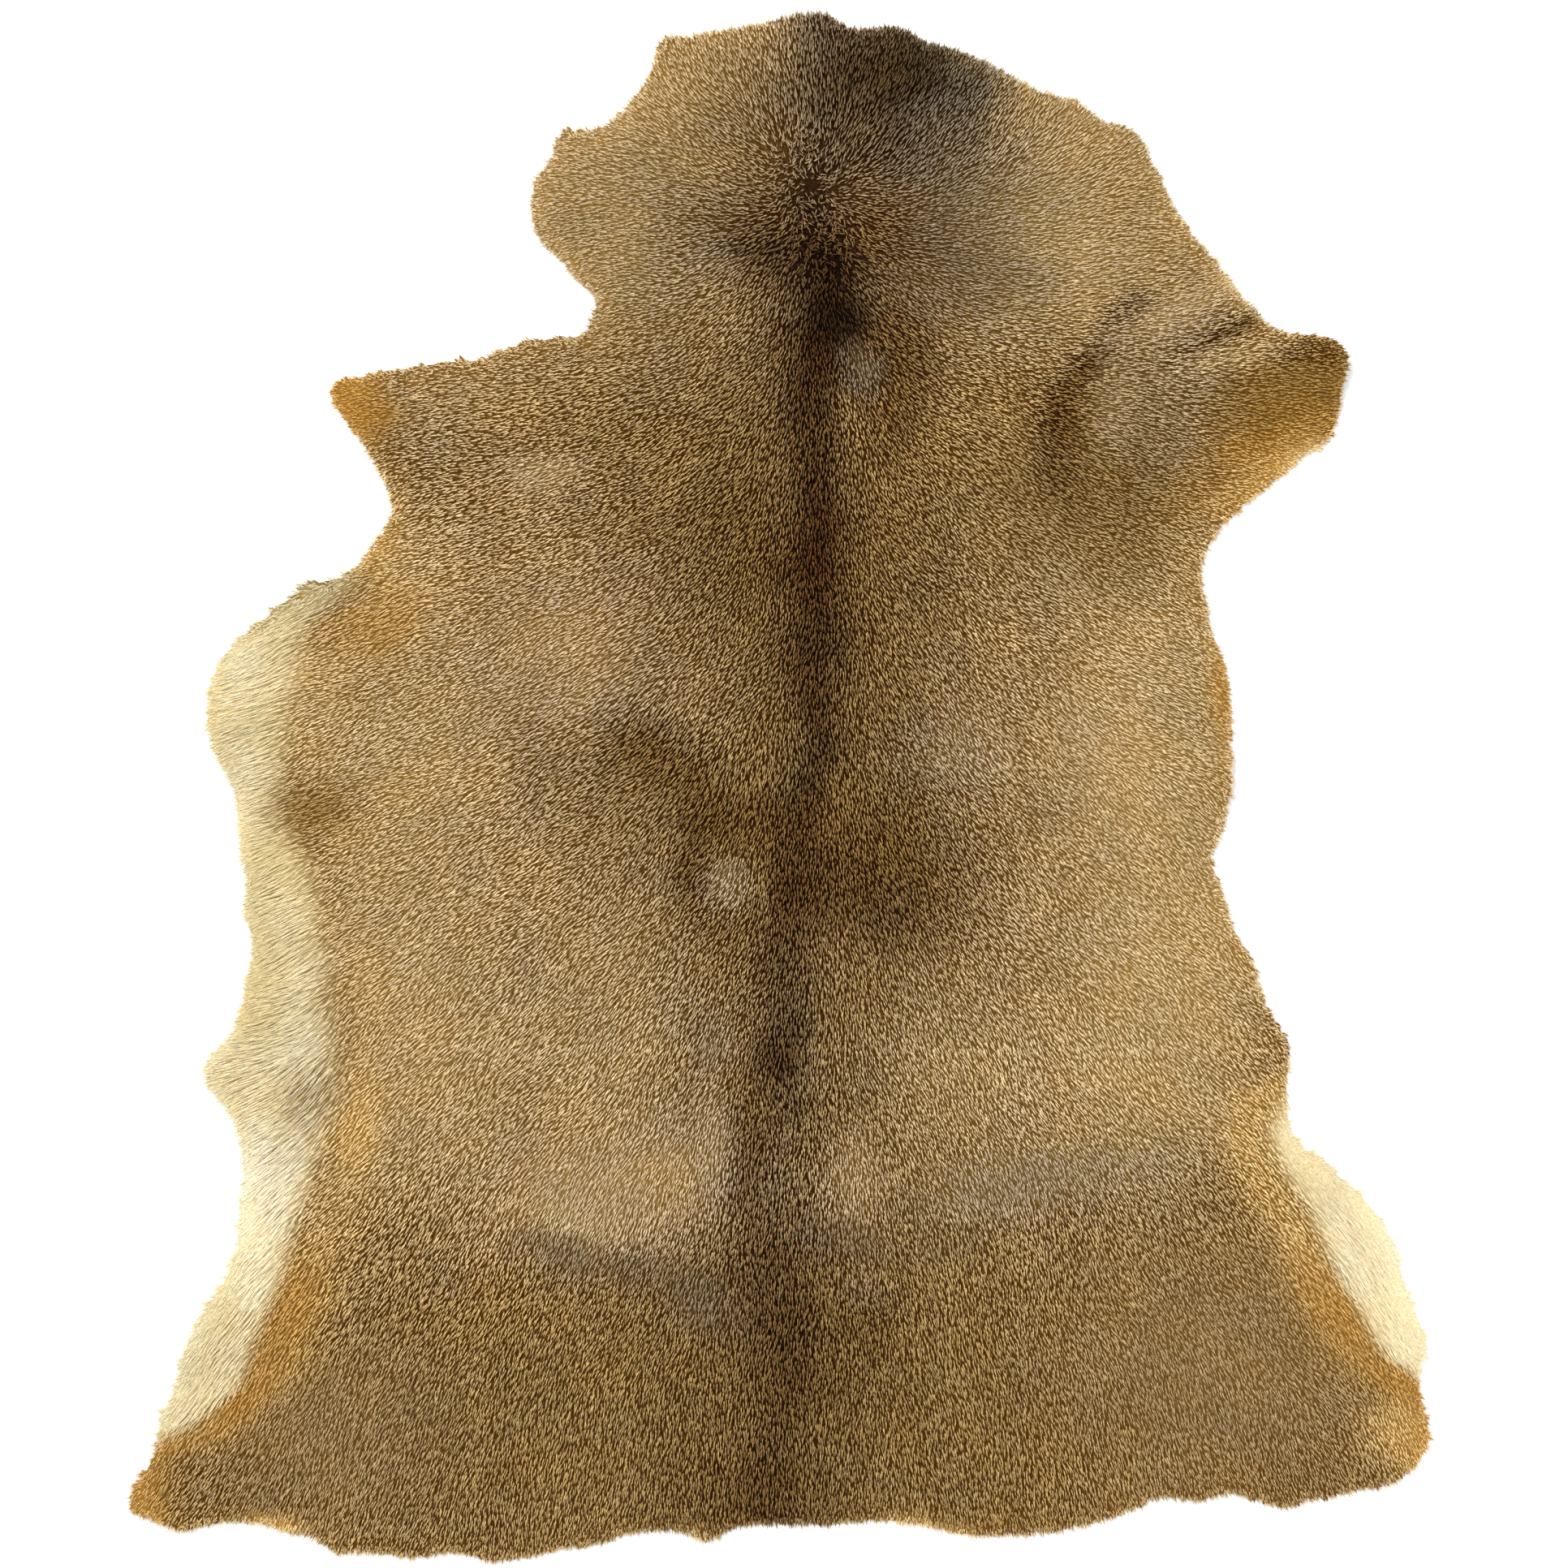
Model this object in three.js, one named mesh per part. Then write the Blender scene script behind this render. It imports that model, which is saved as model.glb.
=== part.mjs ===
// Deerhide rug: one hair-on hide laid flat, hair side up.
// Millimetres. +X runs across the hide, +Y from rump to neck, +Z up out of the hair.
// The origin is on the floor, under the middle of the hide's box.

import * as THREE from 'three';

// Driving dimensions
const HIDE = {
  length: 1200, // neck to rump, measured to the hair tips
  pileThickness: 8, // skin and lying hair together
  rimThickness: 2.4, // skin edge and thin hair at the rim
  taperWidth: 17, // band inside the rim where the pile thins out
};
const TUFTS = { spacing: 10, depth: 2.8, leastShare: 0.35, seed: 11 };
const LUMPS = { // how far the pile's thickness strays, and over what lengths
  broad: { height: 0.5, across: 53, along: 71 },
  fine: { height: 0.3, across: 27, along: 41 },
};
const LIFT_CUT = 0.35; // a fold's lift below this lies flat on the floor
const HAIR_COLOUR = 0x8c7048;

// How the surfaces are divided into triangles
const SHOULDER = { inset: 13, leastInset: 9, spacing: 18 }; // row of points where the pile has filled out
const HONEYCOMB = { pitch: 25, leastInset: 24, stray: 0.3, seed: 5 };
const CIRCLE_SLACK = 0.001; // corners this near to one circle are left as they are
const EDGE_BASE = 100000; // above the number of points

// The rim, clockwise seen from above, each stretch with the x and y of its points.
// y is level with the middle of the hide at 0.
const RIM = [
  {
    stretch: 'neck crest',
    x: [-97, -92, -77, -59, -16, 5, 27, 42, 51, 81, 101, 107, 135, 164, 185, 214, 225, 237],
    y: [567, 584, 579, 584, 590, 595, 600, 596, 587, 588, 587, 577, 571, 558, 546, 533, 533, 526],
  },
  {
    stretch: 'neck, right side',
    x: [245, 267, 284, 287, 297, 302, 314, 319, 331, 335, 344, 351, 353, 365, 372],
    y: [515, 514, 495, 483, 471, 453, 438, 425, 416, 407, 400, 389, 378, 374, 361],
  },
  {
    stretch: 'right foreleg',
    x: [385, 418, 432, 441, 439, 434, 434, 429, 424, 408, 387, 370, 340, 331],
    y: [354, 350, 344, 331, 320, 310, 287, 269, 258, 253, 235, 223, 197, 184],
  },
  {
    stretch: 'right flank',
    x: [326, 333, 333, 343, 350, 351, 349, 341, 334, 341, 358, 370, 376, 395, 395, 393, 392, 398],
    y: [157, 142, 124, 105, 67, 23, -10, -40, -48, -68, -117, -134, -162, -195, -214, -245, -258, -268],
  },
  {
    stretch: 'right thigh',
    x: [417, 448, 465, 479, 481, 495, 502, 495, 499, 506, 501, 490, 471, 445, 418, 408, 398],
    y: [-283, -308, -331, -350, -372, -407, -428, -449, -474, -498, -514, -527, -542, -544, -552, -549, -559],
  },
  {
    stretch: 'rump, right half',
    x: [376, 351, 336, 331, 307, 296, 272, 234, 193, 144, 106, 62, 34, -7, -33],
    y: [-556, -548, -548, -554, -552, -548, -560, -572, -579, -579, -571, -569, -572, -571, -571],
  },
  {
    stretch: 'rump, left half',
    x: [-49, -64, -78, -101, -123, -135, -160, -192, -226, -244, -260, -282, -320, -345, -353],
    y: [-585, -584, -574, -577, -579, -587, -589, -595, -600, -593, -593, -598, -592, -594, -583],
  },
  {
    stretch: 'left thigh',
    x: [-380, -403, -436, -464, -480, -506, -502, -483, -481, -465, -457, -433, -420, -416, -415],
    y: [-576, -570, -570, -578, -569, -561, -541, -507, -487, -451, -421, -383, -352, -314, -270],
  },
  {
    stretch: 'left flank',
    x: [-424, -442, -440, -420, -415, -407, -406, -415, -410, -414, -422, -435, -440, -437, -419],
    y: [-247, -231, -206, -189, -167, -129, -108, -97, -81, -51, 6, 23, 56, 88, 117],
  },
  {
    stretch: 'left foreleg',
    x: [-386, -364, -324, -320, -301, -301, -313, -330, -345, -352, -326, -289, -257, -224, -207, -170],
    y: [142, 159, 171, 182, 209, 224, 246, 273, 292, 311, 320, 328, 333, 335, 345, 352],
  },
  {
    stretch: 'neck, left side',
    x: [-154, -146, -146, -140, -158, -168, -187, -193, -193, -188, -178, -172, -163, -152, -137, -119, -104],
    y: [350, 355, 364, 378, 386, 406, 418, 443, 457, 476, 482, 507, 515, 507, 512, 527, 546],
  },
];

// Soft ridges and curled edges, each along the line from its start to its end.
// height is how far the hide lifts there, spread how far the lift reaches to each side.
const FOLDS = [
  { place: 'right shoulder ridge', start: [271, 360], end: [236, 272], height: 9, spread: 24 },
  { place: 'withers roll', start: [176, 170], end: [188, 96], height: 3.5, spread: 26 },
  { place: 'ridge over the foreleg crease', start: [350, 374], end: [284, 344], height: 6, spread: 16 },
  { place: 'ridge under the foreleg crease', start: [412, 340], end: [312, 322], height: 8, spread: 18 },
  { place: 'curled foreleg tip', start: [436, 338], end: [424, 318], height: 6, spread: 16 },
  { place: 'right flank ripple', start: [346, 6], end: [262, 18], height: 4, spread: 16 },
  { place: 'curled armpit edge', start: [-384, 146], end: [-326, 170], height: 10, spread: 18 },
  { place: 'left foreleg pucker', start: [-330, 270], end: [-306, 254], height: 5, spread: 15 },
  { place: 'upper belly ridge', start: [-426, 52], end: [-352, 60], height: 5, spread: 22 },
  { place: 'middle belly ridge', start: [-408, -62], end: [-344, -54], height: 6, spread: 18 },
  { place: 'belly fold, upper', start: [-426, -178], end: [-352, -162], height: 5, spread: 16 },
  { place: 'belly fold, middle', start: [-436, -212], end: [-358, -208], height: 8, spread: 15 },
  { place: 'belly fold, lower', start: [-416, -268], end: [-356, -262], height: 6, spread: 18 },
  { place: 'curled thigh edge', start: [-424, -356], end: [-458, -424], height: 7, spread: 16 },
];

const { clamp, seededRandom, smoothstep } = THREE.MathUtils;

// A closed curve through the rim's points, cut back between them into small tufts of hair.
function makeRim() {
  const drawn = RIM.flatMap(({ x, y }) => x.map((across, i) => new THREE.Vector3(across, y[i], 0)));
  const curve = new THREE.CatmullRomCurve3(drawn, true, 'centripetal');
  const rim = [];
  seededRandom(TUFTS.seed);
  drawn.forEach((point, i) => {
    const next = drawn[(i + 1) % drawn.length];
    const steps = Math.max(1, Math.round(point.distanceTo(next) / TUFTS.spacing));
    for (let step = 0; step < steps; step += 1) {
      const at = (i + step / steps) / drawn.length;
      const place = curve.getPoint(at);
      const along = curve.getTangent(at);
      const share = TUFTS.leastShare + (1 - TUFTS.leastShare) * seededRandom();
      const cut = TUFTS.depth * (step % 2) * share;
      rim.push(new THREE.Vector2(place.x + along.y * cut, place.y - along.x * cut));
    }
  });
  return rim.reverse();
}

function distanceToSegment(x, y, a, b) {
  const length2 = (b.x - a.x) ** 2 + (b.y - a.y) ** 2;
  const share = length2 > 0 ? ((x - a.x) * (b.x - a.x) + (y - a.y) * (b.y - a.y)) / length2 : 0;
  const along = clamp(share, 0, 1);
  return Math.hypot(x - a.x - along * (b.x - a.x), y - a.y - along * (b.y - a.y));
}

// Distance in from the rim, negative outside it.
function clearance(x, y, rim) {
  let nearest = Infinity;
  let inside = false;
  rim.forEach((a, i) => {
    const b = rim[(i + 1) % rim.length];
    nearest = Math.min(nearest, distanceToSegment(x, y, a, b));
    const crosses = a.y > y !== b.y > y && x < a.x + ((y - a.y) / (b.y - a.y)) * (b.x - a.x);
    inside = crosses ? !inside : inside;
  });
  return inside ? nearest : -nearest;
}

// How far the skin is lifted off the floor by the folds.
function liftAt(x, y) {
  let lift = 0;
  for (const { start, end, height, spread } of FOLDS) {
    const away = distanceToSegment(x, y, { x: start[0], y: start[1] }, { x: end[0], y: end[1] });
    lift += height * Math.exp(-0.5 * (away / spread) ** 2);
  }
  return Math.max(0, lift - LIFT_CUT);
}

// Thickness of skin and hair: thin at the rim, uneven across the body.
function thicknessAt(x, y, inset) {
  const rise = smoothstep(inset, 0, HIDE.taperWidth);
  const broad = LUMPS.broad.height * Math.sin(x / LUMPS.broad.across) * Math.cos(y / LUMPS.broad.along);
  const waves = Math.sin((x + y) / LUMPS.fine.across) * Math.cos((x - y) / LUMPS.fine.along);
  const body = HIDE.pileThickness + broad + LUMPS.fine.height * waves;
  return HIDE.rimThickness + (body - HIDE.rimThickness) * rise;
}

// Points inside the rim: one row that follows it, then a loosened honeycomb over the body.
function innerPoints(rim) {
  const shoulder = [];
  rim.forEach((point, i) => {
    const before = rim[(i + rim.length - 2) % rim.length];
    const after = rim[(i + 2) % rim.length];
    const inward = new THREE.Vector2(before.y - after.y, after.x - before.x).setLength(SHOULDER.inset);
    const place = point.clone().add(inward);
    const last = shoulder.at(-1) ?? place;
    const apart = shoulder.length === 0 || place.distanceTo(last) >= SHOULDER.spacing;
    if (apart && clearance(place.x, place.y, rim) >= SHOULDER.leastInset) {
      shoulder.push(place);
    }
  });
  const body = [];
  const reach = HIDE.length / 2;
  const rowHeight = HONEYCOMB.pitch * Math.sqrt(0.75);
  const stray = () => HONEYCOMB.stray * HONEYCOMB.pitch * (seededRandom() - 0.5);
  seededRandom(HONEYCOMB.seed);
  for (let row = 0; row * rowHeight < 2 * reach; row += 1) {
    for (let x = -reach + (row % 2) * HONEYCOMB.pitch / 2; x < reach; x += HONEYCOMB.pitch) {
      const place = new THREE.Vector2(x + stray(), row * rowHeight - reach + stray());
      if (clearance(place.x, place.y, rim) >= HONEYCOMB.leastInset) {
        body.push(place);
      }
    }
  }
  return [...shoulder, ...body];
}

const edge = (a, b) => a * EDGE_BASE + b;

// Triangles over the outline, kept as a map from each directed edge to the corner opposite it.
class Triangulation {
  constructor(points) {
    this.points = points;
    this.apexes = new Map();
  }

  add(a, b, c) {
    this.apexes.set(edge(a, b), c).set(edge(b, c), a).set(edge(c, a), b);
  }

  remove(a, b, c) {
    [edge(a, b), edge(b, c), edge(c, a)].forEach((side) => this.apexes.delete(side));
  }

  // Twice the signed area, above 0 where a, b, c run anticlockwise.
  turn(a, b, c) {
    const [p, q, r] = [this.points[a], this.points[b], this.points[c]];
    return (q.x - p.x) * (r.y - p.y) - (r.x - p.x) * (q.y - p.y);
  }

  // Whether d lies inside the circle through a, b and c.
  encloses(a, b, c, d) {
    const from = this.points[d];
    const [p, q, r] = [a, b, c].map((n) => this.points[n].clone().sub(from));
    const circle = p.lengthSq() * q.cross(r) - q.lengthSq() * p.cross(r) + r.lengthSq() * p.cross(q);
    return circle > CIRCLE_SLACK;
  }

  // Swaps shared edges until every triangle is as near equal-sided as its corners allow.
  settle(edges) {
    while (edges.length > 0) {
      const [a, b] = edges.pop();
      const c = this.apexes.get(edge(a, b));
      const d = this.apexes.get(edge(b, a));
      if (c !== undefined && d !== undefined && this.encloses(a, b, c, d)) {
        this.remove(a, b, c);
        this.remove(b, a, d);
        this.add(a, d, c);
        this.add(d, b, c);
        edges.push([a, d], [d, b], [b, c], [c, a]);
      }
    }
  }

  // Splits the triangle that holds the point and settles the edges around it.
  insert(point) {
    const holder = this.triangles().find(([a, b, c]) =>
      this.turn(a, b, point) > 0 && this.turn(b, c, point) > 0 && this.turn(c, a, point) > 0);
    const [a, b, c] = holder;
    this.remove(a, b, c);
    this.add(a, b, point);
    this.add(b, c, point);
    this.add(c, a, point);
    this.settle([[a, b], [b, c], [c, a]]);
  }

  triangles() {
    const found = [];
    for (const [side, c] of this.apexes) {
      const a = Math.floor(side / EDGE_BASE);
      const b = side % EDGE_BASE;
      if (a < b && a < c) {
        found.push([a, b, c]);
      }
    }
    return found;
  }
}

function meshOutline(rim) {
  const points = [...rim, ...innerPoints(rim)];
  const mesh = new Triangulation(points);
  for (const [a, b, c] of THREE.ShapeUtils.triangulateShape(rim, [])) {
    if (mesh.turn(a, b, c) > 0) {
      mesh.add(a, b, c);
    } else {
      mesh.add(a, c, b);
    }
  }
  mesh.settle(mesh.triangles().flatMap(([a, b, c]) => [[a, b], [b, c], [c, a]]));
  for (let point = rim.length; point < points.length; point += 1) {
    mesh.insert(point);
  }
  return { points, triangles: mesh.triangles() };
}

// One closed body: hair side, flesh side and the thin wall round the rim.
function makeHideGeometry() {
  const rim = makeRim();
  const { points, triangles } = meshOutline(rim);
  const lifts = points.map(({ x, y }) => liftAt(x, y));
  const insets = points.map(({ x, y }, i) => (i < rim.length ? 0 : clearance(x, y, rim)));
  const tops = points.map(({ x, y }, i) => lifts[i] + thicknessAt(x, y, insets[i]));
  const count = points.length;
  const positions = [
    ...points.flatMap(({ x, y }, i) => [x, y, tops[i]]),
    ...points.flatMap(({ x, y }, i) => [x, y, lifts[i]]),
  ];
  const faces = [
    ...triangles.flat(),
    ...triangles.flatMap(([a, b, c]) => [a + count, c + count, b + count]),
    ...rim.flatMap((_, a) => {
      const b = (a + 1) % rim.length;
      return [a, a + count, b + count, a, b + count, b];
    }),
  ];
  const geometry = new THREE.BufferGeometry();
  geometry.setAttribute('position', new THREE.Float32BufferAttribute(positions, 3));
  geometry.setIndex(faces);
  geometry.computeBoundingBox();
  const { min, max } = geometry.boundingBox;
  geometry.translate(-(min.x + max.x) / 2, -(min.y + max.y) / 2, 0);
  const fit = HIDE.length / (max.y - min.y);
  geometry.scale(fit, fit, 1);
  geometry.computeVertexNormals();
  return geometry;
}

const hairOnHide = new THREE.MeshStandardMaterial({ color: HAIR_COLOUR, roughness: 0.85, metalness: 0 });
const hide = new THREE.Mesh(makeHideGeometry(), hairOnHide);
hide.name = 'hide';

const group = new THREE.Group();
group.add(hide);

export default group;
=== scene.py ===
"""Dressed model of a tanned deer hide with its hair on, laid flat on the floor with the hair side up.

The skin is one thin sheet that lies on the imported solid's ripples. Its coat is many thousands of flat,
pointed locks of hair, which Geometry Nodes grow on the skin, combed, coloured and cut to length by the
coat's charts. Charts are in millimetres from the middle of the hide: +X to the right with the neck away,
+Y towards the neck. Meshes are in metres.
"""
import logging
import math
from dataclasses import dataclass, field
from enum import Enum
from functools import partial
from typing import NamedTuple

import bmesh
import bpy
import numpy as np
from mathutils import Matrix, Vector, noise
from mathutils.geometry import delaunay_2d_cdt
from mathutils.kdtree import KDTree


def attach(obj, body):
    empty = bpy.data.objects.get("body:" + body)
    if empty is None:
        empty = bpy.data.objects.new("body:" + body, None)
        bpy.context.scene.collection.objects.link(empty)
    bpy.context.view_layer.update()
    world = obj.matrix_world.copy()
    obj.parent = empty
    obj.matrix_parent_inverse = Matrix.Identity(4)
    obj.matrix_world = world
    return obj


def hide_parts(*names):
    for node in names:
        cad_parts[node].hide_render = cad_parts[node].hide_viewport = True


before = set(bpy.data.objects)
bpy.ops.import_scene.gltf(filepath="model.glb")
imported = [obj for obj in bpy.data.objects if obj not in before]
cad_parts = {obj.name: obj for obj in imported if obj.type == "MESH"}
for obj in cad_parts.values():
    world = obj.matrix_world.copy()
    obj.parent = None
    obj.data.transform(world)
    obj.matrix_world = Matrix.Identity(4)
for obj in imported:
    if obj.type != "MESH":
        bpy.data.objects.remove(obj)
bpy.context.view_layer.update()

LOG = logging.getLogger("deerhide_rug")
MM = 0.001
BODY = "root"
# Sockets of a colour mix and of a random number, which share their names with other sockets.
MIX_SHARE, MIX_FROM, MIX_TO, MIX_RESULT = 0, 6, 7, 2
DRAW_LOW, DRAW_HIGH, DRAW_RESULT = 2, 3, 1


def linear(code: str) -> tuple[float, float, float, float]:
    """Turns an sRGB hex colour to linear light.

    Args:
        code: The colour as #rrggbb.

    Returns:
        Red, green, blue and alpha, each from 0 to 1.
    """
    shares = [int(code[at : at + 2], 16) / 255 for at in (1, 3, 5)]
    light = [s / 12.92 if s <= 0.04045 else ((s + 0.055) / 1.055) ** 2.4 for s in shares]
    return (light[0], light[1], light[2], 1.0)


def bell(away: np.ndarray, power: float) -> np.ndarray:
    """Falls from 1 at 0 through a half at 1, the more squarely the greater the power."""
    halving = 0.69
    return np.exp(-halving * away**power)


def hill(away: np.ndarray, spread: float) -> np.ndarray:
    """Falls from 1 at 0 to 0.6 at the spread, as a normal curve does."""
    return np.exp(-0.5 * (away / spread) ** 2)


def away_from(points: np.ndarray, start: tuple[float, float], end: tuple[float, float]) -> np.ndarray:
    """Measures how far places are from a line.

    Args:
        points: Places on the hide.
        start: The line's one end.
        end: The line's other end.

    Returns:
        The distance from the nearest point of the line, for each place.
    """
    along = np.subtract(end, start)
    share = np.clip((points - start) @ along / (along @ along), 0.0, 1.0)
    return np.linalg.norm(points - start - share[:, None] * along, axis=1)


class Drift(NamedTuple):
    """Smooth noise over the hide: its strength, how far apart its swells are, and which noise it is."""

    strength: float
    scale: float
    layer: float

    def over(self, x: np.ndarray, y: np.ndarray) -> np.ndarray:
        """Gives the noise at each place, between about minus and plus its strength."""
        places = zip((x / self.scale).tolist(), (y / self.scale).tolist())
        swells = [noise.noise((across, along, self.layer)) for across, along in places]
        return self.strength * np.array(swells)


class Ramp(NamedTuple):
    """A share that goes smoothly from one value to another between two places."""

    start: float
    end: float
    first: float = 0.0
    last: float = 1.0

    def at(self, place: np.ndarray) -> np.ndarray:
        """Gives the share at each place."""
        part = np.clip((place - self.start) / (self.end - self.start), 0.0, 1.0)
        return self.first + (self.last - self.first) * part * part * (3.0 - 2.0 * part)


class Tone(Enum):
    """Coat colours as they look from a step away, with how strongly pale and dark hairs mix in each."""

    SEAL = ("#1a0f04", 1.20)
    UMBER = ("#321a06", 1.50)
    BARK = ("#5c401b", 1.15)
    TAWNY = ("#765b31", 0.90)
    DRAB = ("#7a6037", 0.66)
    TAN = ("#8a6a34", 0.40)
    HAZEL = ("#977d57", 0.34)
    FAWN = ("#8e6f40", 1.00)
    SAND = ("#ab8f66", 0.68)
    DUN = ("#b0976f", 0.36)
    BUFF = ("#b9a075", 0.40)
    HONEY = ("#d1b076", 0.33)
    OCHRE = ("#ad8340", 0.34)
    ROSE = ("#b69d79", 0.30)
    ASH = ("#96856a", 0.42)
    SMOKE = ("#74644e", 0.45)
    BONE = ("#cabb90", 0.07)
    CREAM = ("#e3d7b9", 0.05)

    @property
    def light(self) -> np.ndarray:
        """The tone's linear red, green and blue."""
        return np.array(linear(self.value[0])[:3])

    @property
    def crispness(self) -> float:
        """How far pale and dark hairs part in this tone, 1 on the saddle."""
        return self.value[1]


class Fold(NamedTuple):
    """A ridge or curled edge that runs between two places, with its height and how far it spreads."""

    start: tuple[float, float]
    end: tuple[float, float]
    height: float
    spread: float


class Patch(NamedTuple):
    """A soft-edged patch of the coat: its tone, middle, half widths, strength and turn in degrees."""

    tone: Tone
    x: float
    y: float
    across: float
    along: float
    strength: float = 1.0
    turn: float = 0.0


class StripeMark(NamedTuple):
    """The dark stripe down the back at one height, and how strong the brown to both sides of it is."""

    y: float
    x: float
    half_width: float
    strength: float
    shoulders: float


class BellyMark(NamedTuple):
    """Where the brown coat ends and the cream belly begins, at one height."""

    y: float
    x: float


class Lay(NamedTuple):
    """The way in which the hair lies at one place, as a heading in degrees: 0 right, 90 neck, -90 tail."""

    x: float
    y: float
    heading: float


PARTING = ((14.0, 480.0), (36.0, 420.0))
PARTING_REACH = 26.0
FOLDS = tuple(
    Fold(*row)
    for row in (
        ((271, 360), (236, 272), 9, 24),  # right shoulder ridge
        ((176, 170), (188, 96), 3.5, 26),  # withers roll
        ((350, 374), (284, 344), 6, 16),  # ridge over the foreleg crease
        ((412, 340), (312, 322), 8, 18),  # ridge under the foreleg crease
        ((436, 338), (424, 318), 6, 16),  # curled foreleg tip
        ((346, 6), (262, 18), 4, 16),  # right flank ripple
        ((-384, 146), (-326, 170), 10, 18),  # curled armpit edge
        ((-330, 270), (-306, 254), 5, 15),  # left foreleg pucker
        ((-426, 52), (-352, 60), 5, 22),  # upper belly ridge
        ((-408, -62), (-344, -54), 6, 18),  # middle belly ridge
        ((-426, -178), (-352, -162), 5, 16),  # belly fold, upper
        ((-436, -212), (-358, -208), 8, 15),  # belly fold, middle
        ((-416, -268), (-356, -262), 6, 18),  # belly fold, lower
        ((-424, -356), (-458, -424), 7, 16),  # curled thigh edge
    )
)

GROUND = Tone.FAWN
PATCHES = tuple(
    Patch(*row)
    for row in (
        (Tone.DUN, 40, 490, 240, 130),  # neck
        (Tone.DUN, -120, 430, 90, 90),  # left side of the neck
        (Tone.DUN, 225, 430, 110, 85, 1.0, -35),  # right side of the neck
        (Tone.DUN, -270, 300, 90, 38, 0.55, 10),  # left foreleg
        (Tone.HONEY, -305, 165, 40, 70, 0.9, 25),  # left shoulder edge
        (Tone.SAND, -200, 60, 110, 170, 0.85),  # left ribs
        (Tone.BUFF, -290, -60, 70, 200, 0.9),  # left flank
        (Tone.SAND, -160, -170, 125, 125, 0.95),  # left loin
        (Tone.BUFF, -280, -200, 80, 100, 0.8),  # left hip
        (Tone.SAND, 210, 40, 100, 170, 0.8),  # right ribs
        (Tone.BUFF, 290, 0, 75, 190, 0.95),  # right flank
        (Tone.SAND, 190, -190, 130, 120, 0.8),  # right loin
        (Tone.BUFF, 290, -170, 80, 110, 0.8),  # right hip
        (Tone.TAWNY, 20, 0, 150, 430, 0.55),  # saddle
        (Tone.DRAB, 10, -500, 400, 120, 0.55),  # rump
        (Tone.HAZEL, 350, -442, 118, 96, 0.8),  # right thigh
        (Tone.HAZEL, -360, -492, 98, 62, 0.75),  # left thigh
        (Tone.BUFF, -352, 70, 30, 74, 0.85),  # left flank by the belly
        (Tone.TAWNY, -5, 495, 48, 56, 0.45),  # left of the crest
        (Tone.SEAL, 94, 550, 64, 44, 0.95, -12),  # crest of the neck
        (Tone.UMBER, 98, 494, 64, 42, 0.85),  # under the crest
        (Tone.SMOKE, 122, 400, 64, 36, 0.75),  # right of the withers
        (Tone.BARK, 82, 350, 30, 36, 0.9),  # beside the heart
        (Tone.BARK, 86, 300, 28, 44, 0.75),  # right of the scuff by the withers
        (Tone.SMOKE, 125, 450, 75, 32, 0.75),  # nape
        (Tone.BARK, 12, 422, 75, 38, 0.8),  # withers
        (Tone.BUFF, 213, 451, 60, 50, 0.2),  # light of the neck's right side
        (Tone.BARK, 12, 340, 30, 28, 0.55),  # left side of the withers
        (Tone.BARK, 70, 430, 34, 24, 0.7),  # right of the parting
        (Tone.BARK, -45, 210, 36, 60, 0.4),  # brown left of the stripe
        (Tone.SAND, -58, 74, 30, 38, 0.45),  # sand left of the stripe
        (Tone.BARK, 76, 62, 30, 28, 0.35),  # brown right of the stripe
        (Tone.BUFF, -138, -190, 55, 95, 0.5),  # buff of the left loin
        (Tone.BUFF, 138, -218, 50, 58, 0.4),  # buff of the right loin
        (Tone.BARK, -34, -536, 42, 26, 0.7),  # brown left of the tail
        (Tone.SEAL, 66, 526, 66, 26, 0.5),  # below the crest
        (Tone.SMOKE, 130, 502, 32, 26, 0.4),  # right of the crest
        (Tone.TAWNY, -136, 22, 56, 54, 0.6),  # brown round the left back blotch
        (Tone.BARK, 100, 136, 26, 24, 0.3),  # brown right of the shoulders
        (Tone.DRAB, 240, 240, 75, 75, 0.85),  # right shoulder blade
        (Tone.ASH, 305, 300, 42, 55, 0.4, 20),  # right shoulder grey
        (Tone.OCHRE, 380, 262, 66, 34, 0.75, 36),  # right foreleg
        (Tone.TAN, 394, 309, 62, 27, 0.85, 20),  # upper right foreleg
        (Tone.OCHRE, -332, 300, 26, 26, 0.85),  # left foreleg tip
        (Tone.OCHRE, -310, 282, 22, 18, 0.85),  # below the left foreleg tip
        (Tone.OCHRE, -312, 132, 38, 28, 0.55),  # ochre behind the armpit
        (Tone.ROSE, -179, 244, 28, 15, 0.9, 5),  # scuff on the left shoulder
        (Tone.ASH, -44, -189, 12, 20, 0.6),  # small scuff on the back
        (Tone.ASH, 131, 31, 40, 28, 0.6),  # scuff on the right back
        (Tone.SMOKE, -35, -396, 26, 28, 0.4),  # scuff on the rump
        (Tone.ROSE, -122, -303, 92, 46, 0.95, 8),  # brushed patch
        (Tone.ROSE, -163, 106, 65, 60, 0.6, 20),  # left ribs, rosy
        (Tone.ROSE, 250, 30, 40, 70, 0.35, -10),  # right ribs, rosy
        (Tone.OCHRE, 340, 100, 13, 60, 0.7),  # right flank rim
        (Tone.HONEY, 483, -496, 30, 26, 0.8),  # right hind corner
        (Tone.OCHRE, -492, -545, 26, 22, 0.7),  # left hind corner
        (Tone.HONEY, -395, -564, 22, 8, 0.8),  # gold on the left hem
        (Tone.HONEY, -80, -577, 32, 9, 0.8),  # gold left of the tail
        (Tone.HONEY, 112, -574, 38, 7, 0.7),  # gold right of the tail
        (Tone.HONEY, 317, -566, 26, 8, 0.8),  # gold on the right hem
    )
)

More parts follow.
